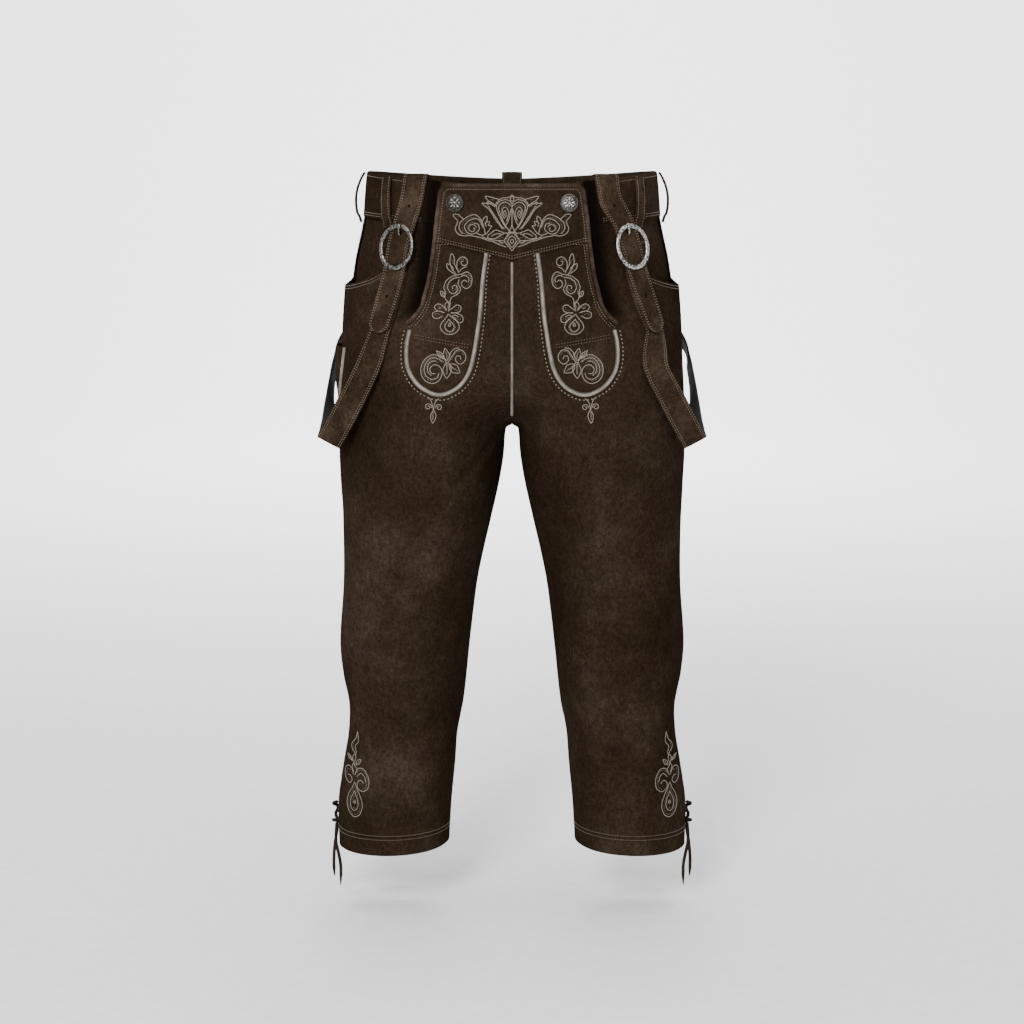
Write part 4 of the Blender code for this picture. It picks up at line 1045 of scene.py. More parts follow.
@dataclass
class LegPanels:
    """The suede panels of the legs, seat, pockets and waistband."""

    shop: Workshop
    hip_cells: int = 56
    join_cells: int = 8
    flap_cells: int = 46
    back_cells: int = 84
    hip_rows: int = 58
    leg_rows: int = 200
    vent_top: float = -0.69
    vent_half: float = 0.0016
    hem_side_drop: float = 0.0055
    slit_overlap: float = 0.012
    flap_level_x: float = 0.04
    facing_set_back: float = 0.0033
    middle_clearance: float = 0.0002
    seam_gap: float = 0.0006
    front_reach: float = 0.057
    back_reach: float = 0.051
    hem_bend: float = -0.7
    pocket_foot: float = -0.1068
    facing_foot: float = -0.127

    def side_start(self, z: Array) -> Array:
        """Return where a panel starts beside the side seam, which opens into a vent."""
        return SEAM_SHARE + smooth((self.vent_top - z) / 0.05) * self.vent_half / 0.24

    def hem_drop(self, s: Array, z: Array) -> Array:
        """Return how far a point near the hem sinks towards the side seam."""
        return self.hem_side_drop * (1.0 - s) ** 2 * smooth((self.hem_bend - z) / (self.hem_bend - HEM))

    def to_waist(self, x: Array, level: Array, reach: float) -> Array:
        """Return how far levels near the top move, so that the first one follows the waist seam."""
        share = (1.0 - np.clip((PANEL_TOP - level) / reach, 0.0, 1.0)) ** 2
        return (self.shop.form.waist_seam(x) - self.seam_gap - PANEL_TOP) * share

    def wall_at(self, z: Array) -> Array:
        """Return the wall's thickness, which the turned-up hem doubles."""
        return WALL * (1.0 + 0.8 * smooth((HEM_FOLD + 0.0008 - z) / 0.0016))

    def walls(self, face: Face, hand: Hand, s: Array, z: Array, lift: Amount, wall: Amount):
        """Return the outer and inner points of a wall, kept on its own side of the middle.

        Args:
            face: Front or back.
            hand: Which side.
            s: The places round the ring.
            z: The heights.
            lift: How far above the surface.
            wall: The thickness.

        Returns:
            The two grids.
        """
        outer, normal = self.shop.form.skin(face, hand, s, z, lift)
        inner = outer - normal * np.broadcast_to(wall, outer.shape[:-1])[..., None]
        for grid in (outer, inner):
            grid[..., 0] = np.maximum(grid[..., 0] * hand.value, self.middle_clearance) * hand.value
        return outer, inner

    def leg_levels(self, top: float) -> Array:
        """Return fine levels from a height down to the hem, closer together at the hem's fold."""
        plain = np.linspace(top, HEM_FOLD + 0.003, self.leg_rows)
        fold = np.linspace(HEM_FOLD + 0.0015, HEM_FOLD - 0.0015, 5)
        return np.concatenate([plain, fold, np.linspace(HEM_FOLD - 0.0035, HEM, 8)])

    def front(self, hand: Hand) -> Piece:
        """Make a leg's front with its hip part and its half of the drop front."""
        form = self.shop.form
        hip = np.linspace(PANEL_TOP, SLIT_END, self.hip_rows)
        leg = self.leg_levels(SLIT_END)[1:]
        level = np.concatenate([hip, leg])[:, None]
        in_hip = level >= SLIT_END - 1e-9
        share = np.clip((hip[0] - level) / (hip[0] - SLIT_END), 0.0, 1.0)
        flap_top = form.yoke_seam(self.flap_level_x)
        flap_z = np.where(in_hip, mix(flap_top, SLIT_END, share), level)
        mouth = form.s_at(Face.FRONT, form.mouth_x(level), level)
        start = np.where(level > self.pocket_foot, np.maximum(mouth, SEAM_SHARE), self.side_start(level))
        under = self.slit_overlap * smooth((level - SLIT_END - 0.006) / 0.02) - self.seam_gap
        slit_end = form.s_at(Face.FRONT, 0.1215, SLIT_END)
        flap_end = form.s_at(Face.FRONT, 0.112, SLIT_END)
        settle = smooth((SLIT_END - level) / 0.1)
        hip_end = np.where(
            in_hip, form.s_at(Face.FRONT, form.flap_x(level) - under, level), mix(slit_end, 0.42, settle))
        flap_start = np.where(
            in_hip, form.s_at(Face.FRONT, form.flap_x(flap_z), flap_z), mix(flap_end, 0.54, settle))
        hip_s = mix(start, hip_end, even(self.hip_cells + 1))
        join_s = mix(hip_end, flap_start, even(self.join_cells + 1)[1:-1])
        flap_s = mix(flap_start, 1.0 - SEAM_SHARE, even(self.flap_cells + 1))
        hip_x = form.ring(Face.FRONT, hip_s, level).real
        hip_z = level + self.to_waist(hip_x, level, self.front_reach)
        hip_z = hip_z - np.where(in_hip, 0.0, self.hem_drop(hip_s, level))
        hip_lift = form.flap_lift(hip_x, hip_z) * smooth((SLIT_END + 0.004 - hip_z) / 0.012)
        join_z = level - self.hem_drop(join_s, level)
        flap_x = form.ring(Face.FRONT, flap_s, flap_z).real
        at_seam = (form.yoke_seam(flap_x) - flap_top - GAP * 2.0) * (1.0 - share) ** 2
        lower_z = flap_z + np.where(in_hip, at_seam, -self.hem_drop(flap_s, level))
        s = np.hstack([hip_s, join_s, flap_s])
        z = np.hstack([hip_z, join_z, lower_z])
        x = form.ring(Face.FRONT, s, z).real
        lift = form.flap_lift(x, z)
        lift[:, : self.hip_cells + 1] = hip_lift
        outer, inner = self.walls(Face.FRONT, hand, s, z, lift, self.wall_at(z))
        keep = np.ones((outer.shape[0] - 1, outer.shape[1] - 1), bool)
        keep[: self.hip_rows - 1, self.hip_cells : self.hip_cells + self.join_cells] = False
        piece = shell(f"front_panel_{hand.label}", outer, inner, keep)
        self.shop.place(piece, SUEDE, "suede", [f"front_{hand.label}"])
        darken(piece, form)
        return piece

    def back(self, hand: Hand) -> Piece:
        """Make a leg's back with its half of the seat."""
        form = self.shop.form
        level = self.leg_levels(PANEL_TOP)[:, None]
        start = self.side_start(level)
        s = mix(start, 1.0 - SEAM_SHARE, even(self.back_cells + 1))
        x = form.ring(Face.BACK, s, level).real
        z = level + self.to_waist(x, level, self.back_reach) - self.hem_drop(s, level)
        outer, inner = self.walls(Face.BACK, hand, s, z, 0.0, self.wall_at(z))
        piece = shell(f"back_panel_{hand.label}", outer, inner)
        self.shop.place(piece, SUEDE, "suede", [f"back_{hand.label}"])
        return piece

    def facing(self, hand: Hand) -> Piece:
        """Make the hip part that shows inside the pocket's mouth."""
        form = self.shop.form
        level = np.linspace(PANEL_TOP, self.facing_foot, 34)[:, None]
        mouth = form.mouth_x(np.maximum(level, -0.098))
        end = form.s_at(Face.FRONT, mouth - 0.02, level)
        s = mix(SEAM_SHARE * 1.8, end, even(33))
        x = form.ring(Face.FRONT, s, level).real
        z = level + self.to_waist(x, level, self.front_reach)
        deeper = smooth((-0.092 - z) / 0.022)
        lift = -self.facing_set_back * (1.0 + 0.5 * deeper) - form.swell(Face.FRONT, s, z)
        outer, inner = self.walls(Face.FRONT, hand, s, z, lift, WALL * 0.8)
        piece = shell(f"pocket_facing_{hand.label}", outer, inner)
        self.shop.place(piece, SUEDE, "suede", [f"facing_{hand.label}"])
        return piece

    def waistband(self, name: str, face: Face, hands: Sequence[Hand]) -> Piece:
        """Make one piece of the waistband between its end seams.

        Args:
            name: The node that it stands for.
            face: Front or back.
            hands: The sides that it covers.

        Returns:
            The piece.
        """
        form = self.shop.form
        stops = np.linspace(SEAM_SHARE * 1.8, 1.0 - SEAM_SHARE, 72)
        share = even(15)[:, None]
        outer_parts, inner_parts = [], []
        for hand in hands:
            s = stops if hand is Hand.LEFT else stops[::-1]
            if len(hands) == 2:
                s = s[s < 0.992]
            x = form.ring(face, s, np.zeros_like(s)).real
            z = mix(form.waist_top(face, x), form.waist_seam(x), share)
            puff = 0.0008 + 0.0007 * np.sin(math.pi * np.clip(share * 1.05, 0.0, 1.0)) ** 0.6
            outer, inner = self.walls(face, hand, s, z, puff, BAND_WALL)
            outer_parts.append(outer)
            inner_parts.append(inner)
        outer, inner = np.hstack(outer_parts), np.hstack(inner_parts)
        piece = shell(name + "_leather", outer, inner)
        self.shop.place(piece, SUEDE, "suede", [name])
        if face is Face.FRONT:
            darken(piece, form)
        return piece

    def placket(self, hand: Hand) -> Piece:
        """Make the leather tongue that backs the vent beside the knee."""
        form = self.shop.form
        z = np.linspace(-0.684, HEM - 0.0045, 40)[:, None]
        y = np.linspace(-0.0095, 0.0095, 13)[None]
        lift = -0.0034 - WALL * 0.8 * smooth((HEM_FOLD - z) / 0.002)
        outer, normal = form.beside(hand, y + 0.0 * z, z + 0.0 * y, lift)
        piece = shell(f"vent_placket_{hand.label}", outer, outer - normal * 0.0012)
        self.shop.place(piece, SUEDE, "suede")
        return piece

    def build(self) -> None:
        """Make every panel."""
        for hand in Hand:
            self.placket(hand)
            self.front(hand)
            self.back(hand)
            self.facing(hand)
            self.waistband(f"waistband_{hand.label}", Face.FRONT, [hand])
        self.waistband("waistband_back", Face.BACK, [Hand.LEFT, Hand.RIGHT])


@dataclass
class DropFront:
    """The yoke, the tongues, their piping and the rolled binding."""

    shop: Workshop
    piping_width: float = 0.0048
    piping_height: float = 0.0026
    piping_off: float = 0.003
    binding_width: float = 0.0046
    binding_height: float = 0.002

    def yoke(self) -> Piece:
        """Make the top band, with round corners and a shallow V below."""
        form = self.shop.form
        turn = np.linspace(0.0, math.pi / 2, 12)
        corner = 1.0 - YOKE_CORNER * (1.0 - np.cos(turn)) / YOKE_HALF
        half = np.concatenate([corner, np.linspace(corner[-1], 0.0, 46)[1:]])
        stops = np.concatenate([-half, half[:-1][::-1]])
        beside = (1.0 - np.abs(stops)) * YOKE_HALF
        rounding = np.maximum(0.0, YOKE_CORNER - beside)
        top = YOKE_TOP - YOKE_CORNER + np.sqrt(YOKE_CORNER**2 - rounding**2)
        low = form.yoke_seam(stops * 0.086) + GAP
        z = mix(top, low, even(44)[:, None])
        x = stops * form.flap_x(z)
        outer, normal = form.on_flap(x, z)
        piece = shell("yoke_leather", outer, outer - normal * WALL)
        rub(piece, form)
        self.shop.place(piece, FLAP_SUEDE, "flap_suede", ["flap_yoke"])
        return piece

    def tongue(self, hand: Hand) -> Piece:
        """Make the U-shaped panel that lies on the drop front."""
        form = self.shop.form
        inner_x, outer_x = Column(TONGUE, 1), Column(TONGUE, 2)
        level = np.concatenate([np.linspace(TONGUE_TOP, -0.188, 62), -0.188 - 0.0275 * np.sin(
            np.linspace(0.0, math.pi / 2, 20)[1:])])[:, None]
        x = mix(inner_x(level), outer_x(level), even(33))
        first = (1.0 - np.clip((TONGUE_TOP - level) / 0.028, 0.0, 1.0)) ** 2
        z = level + (form.yoke_seam(x) - 0.0009 - TONGUE_TOP) * first
        outer, normal = form.on_flap(x * hand.value, z, TONGUE_GAP + TONGUE_WALL)
        piece = shell(f"tongue_leather_{hand.label}", outer, outer - normal * TONGUE_WALL)
        rub(piece, form)
        self.shop.place(piece, FLAP_SUEDE, "flap_suede", [f"tongue_{hand.label}"])
        return piece

    def border(self) -> list[tuple[float, float]]:
        """Return the tongue's border from the inner top, round the U, to the slit's end."""
        down = [(row[1], row[0]) for row in TONGUE]
        up = [(row[2], row[0]) for row in TONGUE if row[0] < -0.146]
        return down + [(0.08, TONGUE[-1][0] - 0.0006)] + up[::-1]

    def beside_border(self, off: float, count: int) -> Array:
        """Return a route that keeps its distance outside the border.

        Args:
            off: The distance.
            count: How many points.

        Returns:
            The route's x and z.
        """
        line = spline(self.border(), count)
        along = unit(np.gradient(line, axis=0))
        return line + np.stack([along[:, 1], -along[:, 0]], axis=1) * off

    def strip(self, name: str, route: Array, lift: float, width: float, height: float, fuzz: float):
        """Sweep a rounded strip along a route on the drop front.

        Args:
            name: The piece's name.
            route: The route's x and z.
            lift: How far above the leather its foot is.
            width: Its width.
            height: Its height.
            fuzz: How uneven it is, as a share.

        Returns:
            The piece.
        """
        centres, normals = self.shop.form.on_flap(route[:, 0], route[:, 1], lift)
        across, out = frames_through(centres, normals)
        rng = np.random.default_rng(len(name))
        section = bead_section(width, height)
        uneven = 1.0 + fuzz * rng.uniform(-1.0, 1.0, (len(route), len(section), 1))
        piece = sweep(name, centres, across, out, section * uneven)
        soil_sides(piece, len(route), section)
        return piece

    def tongue_piping(self, hand: Hand) -> None:
        """Make the grey piping along a tongue's border."""
        route = self.beside_border(self.piping_off, 320) * np.array([hand.value, 1.0])
        piece = self.strip(
            f"tongue_piping_strip_{hand.label}", route, GAP, self.piping_width, self.piping_height, 0.09)
        self.shop.place(piece, PIPING, "piping", [f"tongue_piping_{hand.label}"])

    def centre_piping(self) -> None:
        """Make the thin piping over the front seam."""
        form = self.shop.form
        z = np.linspace(YOKE_LOW - 0.0016, -0.244, 180)
        points, _ = form.skin(Face.FRONT, Hand.RIGHT, np.full_like(z, 0.9995), z, form.flap_lift(0.0 * z, z))
        along = unit(np.gradient(points * np.array([0.0, 1.0, 1.0]), axis=0))
        out = np.stack([0.0 * z, along[:, 2], -along[:, 1]], axis=1)
        points[:, 0] = 0.0
        centres = points + out * mix(0.0006, 0.002, smooth((-0.2 - z) / 0.04))[:, None]
        across, out = frames_through(centres, out)
        rng = np.random.default_rng(5)
        section = bead_section(0.003, 0.0015)
        piece = sweep("front_seam_piping", centres, across, out,
                      section * (1.0 + 0.1 * rng.uniform(-1.0, 1.0, (len(z), len(section), 1))))
        soil_sides(piece, len(z), section, 0.45)
        self.shop.place(piece, PIPING, "piping", ["centre_piping"])

    def binding_route(self, inset: float, count: int) -> Array:
        """Return the route along the drop front's free edge, from slit end to slit end.

        Args:
            inset: How far inside the edge.
            count: How many points.

        Returns:
            The route's x and z.
        """
        side = [(x - inset, z) for z, x in FLAP_EDGE[:0:-1] if z < 0.0]
        bend, top = YOKE_CORNER - inset, YOKE_TOP - inset
        edge = FLAP_EDGE[1][1] - inset
        turns = np.linspace(0.0, math.pi / 2, 5)
        corner = [(edge - bend + bend * math.cos(t), top - bend + bend * math.sin(t)) for t in turns]
        half = side + corner + [(0.05, top), (0.02, top)]
        return spline(half + [(-x, z) for x, z in reversed(half)], count)

    def binding(self) -> None:
        """Make the rolled binding along the free edge."""
        piece = self.strip(
            "rolled_binding", self.binding_route(0.0018, 520), GAP, self.binding_width, self.binding_height, 0.03)
        self.shop.place(piece, BINDING_SUEDE, "flap_suede", ["flap_binding"])

    def build(self) -> None:
        """Make the drop front."""
        self.yoke()
        for hand in Hand:
            self.tongue(hand)
            self.tongue_piping(hand)
        self.centre_piping()
        self.binding()


# Columns: y, z, lift
LACING = metres(
    (-75, -7120, 20), (0, -7160, 60), (75, -7205, 20), (70, -7250, 20), (0, -7280, 34), (-70, -7310, 20),
    (-60, -7345, 23), (0, -7358, 64), (62, -7380, 28), (76, -7420, 22))

# Columns: x, y, z
LACE_ENDS = {
    "front": metres(
        (2066, -70, -7376), (2068, -100, -7430), (2070, -160, -7500), (2062, -235, -7580), (2034, -265, -7690),
        (2014, -260, -7810), (2010, -250, -7930), (2016, -240, -8080)),
    "back": metres(
        (2064, 81, -7433), (2078, 74, -7530), (2098, 58, -7660), (2110, 40, -7800), (2112, 40, -7930),
        (2106, 45, -8060)),
}


@dataclass
class KneeLacing:
    """The thongs that lace the vents beside the knees, and their free ends."""

    shop: Workshop
    radius: float = 0.0021

    def thong(self, name: str, route: Array, taper: Array) -> Piece:
        """Make a thong of a given thickness along a route.

        Args:
            name: The piece's name.
            route: Its centre line.
            taper: A share of the radius for each point.

        Returns:
            The piece.
        """
        away = np.tile([[math.copysign(1.0, route[0][0]), 0.0, 0.0]], (len(route), 1))
        across, out = frames_through(route, away)
        section = round_section(self.radius) * np.array([1.0, 0.92])
        return sweep(name, route, across, out, section * taper[:, None, None])

    def free_ends(self) -> None:
        """Make the free ends, each a cord with a pointed tip."""
        for hand in Hand:
            for which, rows in LACE_ENDS.items():
                route = spline(np.array(rows) * np.array([hand.value, 1.0, 1.0]), 60)
                left = np.linspace(1.0, 0.0, 60)
                taper = np.clip(0.16 + left / 0.2, 0.0, 1.0) ** 0.8
                name = f"lace_end_{hand.label}_{which}"
                piece = self.thong(name + "_thong", route, taper)
                self.shop.place(piece, THONG, "thong", [name])

    def lacing(self) -> None:
        """Make the laced part, which crosses the vent twice."""
        rows = np.array(LACING)
        for hand in Hand:
            points, normals = self.shop.form.beside(hand, rows[:, 0], rows[:, 1])
            route = spline(points + normals * rows[:, 2:], 110)
            piece = self.thong(f"vent_thong_{hand.label}", route, np.ones(110))
            self.shop.place(piece, THONG, "thong", [f"lacing_{hand.label}"])


# Columns: x, y, z, across_x, across_y, across_z
STRAP_FREE = (
    (0.159, -0.112, -0.188, 0.8, 0.3, 0.5), (0.1745, -0.107, -0.22, 0.84, 0.2, 0.48),
    (0.19, -0.1, -0.249, 0.87, 0.1, 0.47), (0.2, -0.0935, -0.267, 0.88, 0.03, 0.47),
    (0.2042, -0.0865, -0.2745, 0.88, 0.0, 0.47), (0.2055, -0.0815, -0.2768, 0.88, 0.0, 0.47),
    (0.205, -0.0765, -0.2755, 0.88, 0.0, 0.47), (0.2032, -0.0705, -0.268, 0.86, -0.1, 0.49),
    (0.2022, -0.06, -0.256, 0.78, -0.3, 0.54), (0.206, -0.035, -0.24, 0.32, -0.62, 0.71),
    (0.2072, -0.005, -0.222, 0.1, -0.67, 0.74), (0.205, 0.026, -0.199, 0.02, -0.7, 0.71),
    (0.1985, 0.052, -0.173, -0.1, -0.72, 0.68))

# Columns: s, z, lift
STRAP_BACK = (
    (0.3, -0.13, 0.0062), (0.37, -0.095, 0.0044), (0.44, -0.06, 0.0034), (0.5, -0.03, 0.003), (0.54, -0.01, 0.0024),
    (0.56, 0.002, 0.0022))

# Columns: name, face, x, width, bow
BELT_LOOPS = (
    ("front_left", "front", -0.136, 0.0145, 0.003),
    ("front_right", "front", 0.1385, 0.0145, 0.003),
    ("side_left", "side", -1.0, 0.015, 0.008),
    ("side_right", "side", 1.0, 0.015, 0.008),
    ("back_left", "back", -0.095, 0.015, 0.0045),
    ("back_right", "back", 0.095, 0.015, 0.0045),
)

# Columns: z, lift
HANGER = metres((-385, 20), (-300, 34), (-80, 50), (110, 44), (195, 12), (185, -34), (80, -58), (-60, -56))

HOLE_HEIGHTS = (-0.0135, -0.043, -0.079, -0.112)


@dataclass
class Strapping:
    """The billets, long brace straps and belt loops."""

    shop: Workshop
    width: float = 0.03
    wall: float = 0.002
    hollow: float = 0.0015
    hole_radius: float = 0.0019
    stations: int = 150
    rings: dict = field(default_factory=dict)
    runs: dict = field(default_factory=dict)

    def billet_route(self, hand: Hand) -> Array:
        """Return the billet's centre line from inside the waistband, over it, to the tip."""
        form = self.shop.form
        rows = np.array(BILLET)
        xs = rows[:, 1 if hand is Hand.LEFT else 2] * hand.value
        x = xs[0] - 0.004 * hand.value
        top = float(form.waist_top(Face.FRONT, x))
        inside = -(BAND_WALL - 0.0008 + GAP + self.wall / 2.0) - self.hollow
        stops = [(x, -0.012, inside), (x, 0.002, inside), (x, top + 0.001, inside)]
        stops += [(x, top, -0.0008), (x, top + 0.001, 0.0036)]
        stops += list(zip(xs, rows[:, 0], rows[:, 3]))
        table = np.array(stops)
        points, normals = form.above(Face.FRONT, table[:, 0], table[:, 1])
        points = points + normals * table[:, 2:]
        points[3, 2] += 0.0054
        return points

    def strap_frames(self, points: Array) -> tuple[Array, Array, Array]:
        """Return the stations, sideways and outward vectors of a strap folded over the top."""
        line = spline(points, self.stations)
        along = unit(np.gradient(line, axis=0))
        _, normals = self.shop.form.above(Face.FRONT, line[:, 0], np.minimum(0.0, line[:, 2]))
        level = np.cross(np.array([0.0, 0.0, 1.0]), normals)
        hanging = np.cross(normals, along)
        weight = smooth((-0.25 - along[:, 2:]) / 0.5)
        level = unit(level) * np.sign(level[:, :1])
        hanging = unit(hanging) * np.sign(hanging[:, :1])
        across = unit(level * (1.0 - weight) + hanging * weight)
        across = square_to(along, across)
        return line, across, np.cross(along, across)

    def billet(self, hand: Hand) -> None:
        """Make the strap with punched holes that is folded over the waistband."""
        line, across, out = self.strap_frames(self.billet_route(hand))
        left = np.linalg.norm(line - line[-1], axis=1)
        reach = self.width * 0.42
        tip = np.sqrt(np.clip(1.0 - np.clip((reach - left) / reach, 0.0, 0.985) ** 2, 0.0, 1.0))
        sections = strap_section(self.width, self.wall, 0.0004)[None] * np.stack([tip, 0.0 * tip + 1.0], 1)[:, None]
        piece = sweep(f"billet_strap_{hand.label}", line, across, out, sections)
        fold = int(np.argmax(line[:, 2]))
        for height in HOLE_HEIGHTS:
            at = fold + int(np.argmin(np.abs(line[fold:, 2] - height)))
            self.punch(piece, line[at], out[at])
        self.shop.place(piece, STRAP_SUEDE, "strap_leather", [f"billet_{hand.label}"])
        ring = fold + int(np.argmin(np.abs(line[fold:, 2] - BILLET[RING_ROW][0])))
        self.rings[hand] = (line[ring], across[ring], out[ring])
        self.runs[f"billet_{hand.label}"] = (line, across, out, tip)

    def punch(self, piece: Piece, at: Array, out: Array) -> None:
        """Cut a round hole through a strap.

        Args:
            piece: The strap.
            at: The hole's centre.
            out: The strap's outward direction there.
        """
        deselect_all()
        turn = Vector(out).to_track_quat("Z", "Y").to_euler()
        bpy.ops.mesh.primitive_cylinder_add(
            vertices=20, radius=self.hole_radius, depth=0.01, location=Vector(at), rotation=turn)
        cutter = bpy.context.object
        cut = piece.modifiers.new("hole", "BOOLEAN")
        cut.operation = "DIFFERENCE"
        cut.object = cutter
        cut.solver = "EXACT"
        deselect_all()
        bpy.context.view_layer.objects.active = piece
        piece.select_set(True)
        bpy.ops.object.modifier_apply(modifier="hole")
        bpy.data.objects.remove(cutter, do_unlink=True)

    def brace_strap(self, hand: Hand) -> None:
        """Make the long strap that hangs in a loop from the buckle and returns to the back."""
        form = self.shop.form
        column = 1 if hand is Hand.LEFT else 2
        rows = np.array(BILLET[RING_ROW + 1:])
        points, normals = form.above(Face.FRONT, rows[:, column] * hand.value, rows[:, 0])
        way = np.array([0.26 * hand.value, 0.0, -0.96])
        stations = [(p + n * 0.0018, np.cross(n, way)) for p, n in zip(points, normals)]
        flip = np.array([hand.value, 1.0, 1.0])
        stations += [(np.array(row[:3]) * flip, np.array(row[3:]) * flip) for row in STRAP_FREE]
        back = np.array(STRAP_BACK)
        seat, out = form.skin(Face.BACK, hand, back[:, 0], back[:, 1], back[:, 2])
        ahead, _ = form.skin(Face.BACK, hand, back[:, 0] + 0.05, back[:, 1] + 0.012, back[:, 2])
        for p, n, q in zip(seat, out, ahead):
            stations.append((p, np.cross(unit(q - p), n) * hand.value))
        rows_out, last = [], stations[0][1]
        for point, across in stations:
            last = across if np.dot(across, last) > 0.0 else -across
            rows_out.append(np.concatenate([point, unit(last) * 0.012]))
        line = spline(rows_out, 260)
        centres = line[:, :3]
        along = unit(np.gradient(centres, axis=0))
        across = square_to(along, line[:, 3:])
        outward = np.cross(across, along)
        section = strap_section(self.width * 0.98, self.wall, 0.0003)
        if outward[4][1] > 0.0:
            outward, across = -outward, -across
        piece = sweep(f"brace_{hand.label}", centres, across, outward, section)
        self.shop.place(piece, STRAP_SUEDE, "strap_leather", [f"brace_strap_{hand.label}"])
        # The inner faces take the near-black inside, which is painted shade
        piece.data.materials.append(self.shop.finish(STRAP_INSIDE))
        middles = np.array([polygon.center for polygon in piece.data.polygons])
        normals = np.array([polygon.normal for polygon in piece.data.polygons])
        nearest = np.array([np.argmin(((centres - middle) ** 2).sum(axis=1)) for middle in middles])
        inner = np.sum(normals * outward[nearest], axis=1) < -0.5
        piece.data.polygons.foreach_set("material_index", inner.astype(np.int32))
        self.runs[f"brace_{hand.label}"] = (centres, across, outward, np.ones(len(centres)))

    def belt_loop(self, name: str, face: str, x: float, width: float, bow: float) -> None:
        """Make a bowed loop over the waistband.

        Args:
            name: Its place in words.
            face: Front, back or side.
            x: Where it is.
            width: Its width.
            bow: How far it bows out.
        """
        form = self.shop.form
        share = even(41)
        if face == "side":
            z = mix(WAIST_TOP - 0.001, WAIST_SEAM - 0.0085, share)
            hand = Hand.LEFT if x < 0.0 else Hand.RIGHT
            points, normals = form.skin(Face.BACK, hand, 0.0 * z, z)
            seam = WAIST_SEAM
        else:
            where = Face.FRONT if face == "front" else Face.BACK
            seam = float(form.waist_seam(x))
            z = mix(float(form.waist_top(where, x)) - 0.001, seam - 0.0085, share)
            points, normals = form.above(where, x, z)
        seat = mix(0.0004, 0.002, smooth((z - seam + 0.002) / 0.003))
        lift = seat + GAP + self.wall / 2.0 + bow * np.sin(math.pi * share) ** 0.8
        centres = points + normals * lift[:, None]
        across, out = frames_through(centres, normals)
        piece = sweep(f"loop_{name}", centres, across, out, strap_section(width, self.wall, 0.0003))
        self.shop.place(piece, STRAP_SUEDE, "strap_leather", [f"belt_loop_{name}"])
        self.runs[f"loop_{name}"] = (centres, across, out, np.full(41, width / self.width))

    def hanger(self) -> None:
        """Make the wide centre back loop that rises over the waistband."""
        rows = np.array(HANGER)
        points, _ = self.shop.form.skin(Face.BACK, Hand.RIGHT, np.full(len(rows), 0.9995), rows[:, 0])
        route = np.stack([0.0 * rows[:, 0], points[:, 1] + rows[:, 1], rows[:, 0]], axis=1)
        centres = spline(route, 70)
        along = unit(np.gradient(centres, axis=0))
        normals = np.stack([0.0 * along[:, 0], along[:, 2], -along[:, 1]], axis=1)
        across, out = frames_through(centres, normals)
        piece = sweep("hanger_loop", centres, across, out, strap_section(0.024, self.wall, 0.0003))
        self.shop.place(piece, STRAP_SUEDE, "strap_leather", ["belt_loop_centre"])
        self.runs["hanger"] = (centres, across, out, np.full(70, 0.8))

    def build(self) -> None:
        """Make every strap."""
        for hand in Hand:
            self.billet(hand)
            self.brace_strap(hand)
        for row in BELT_LOOPS:
            self.belt_loop(*row)
        self.hanger()


@dataclass
class KnifePocket:
    """The narrow side pocket on the wearer's right thigh, with its light piping."""

    shop: Workshop
    top: float = -0.174
    foot: float = -0.242
    front_y: tuple[float, float] = (-0.046, -0.024)
    back_y: tuple[float, float] = (0.022, 0.018)
    bulge: float = 0.0048
    wall: float = WALL * 0.8

    def build(self) -> None:
        """Make the pocket and the piping along its front edge."""
        form = self.shop.form
        fall = even(40)[:, None]
        turn = even(45)[None]
        y = mix(mix(*self.front_y, fall), mix(*self.back_y, fall), turn)
        z = mix(self.top, self.foot, fall) + 0.0 * turn
        points, normals = form.beside(Hand.LEFT, y, z)
        arch = np.sin(math.pi * turn) ** 0.7 * (1.0 - 0.94 * smooth((fall - 0.42) / 0.52))
        lift = (GAP + self.wall + self.bulge * arch)[..., None]
        outer = points + normals * lift
        piece = shell("knife_pocket_leather", outer, outer - normals * self.wall)
        self.shop.place(piece, SUEDE, "suede", ["knife_pocket"])
        down = even(90)
        edge, away = form.beside(Hand.LEFT, mix(*self.front_y, down) - 0.0016, mix(self.top, self.foot, down))
        across, out = frames_through(edge + away * GAP, away)
        rng = np.random.default_rng(9)
        section = bead_section(0.0022, 0.0028)
        strip = sweep("knife_pocket_strip", edge + away * GAP, across, out,
                      section * (1.0 + 0.1 * rng.uniform(-1.0, 1.0, (90, len(section), 1))))
        self.shop.place(strip, PIPING, "piping", ["knife_pocket_piping"])


@dataclass
class Collector:
    """Gathers many small bodies into one piece."""

    shop: Workshop
    name: str
    points: list = field(default_factory=list)
    faces: list = field(default_factory=list)
    count: int = 0

    def add(self, points: Array, faces: Array) -> None:
        """Add a body's points and its faces, each as four vertex numbers."""
        self.points.append(points)
        self.faces.append(faces + self.count)
        self.count += len(points)

    def finish(self, finish: ThreadFinish, slot: str) -> Piece:
        """Turn what was gathered into a piece."""
        piece = new_mesh_object(self.name, np.vstack(self.points), np.vstack(self.faces).tolist())
        return self.shop.place(piece, finish, slot)


# Columns: place along a stitch, share of its thickness
STITCH_RINGS = ((-0.5, 0.3), (-0.3, 0.98), (0.3, 0.98), (0.5, 0.3))
STITCH_SIDES = 5


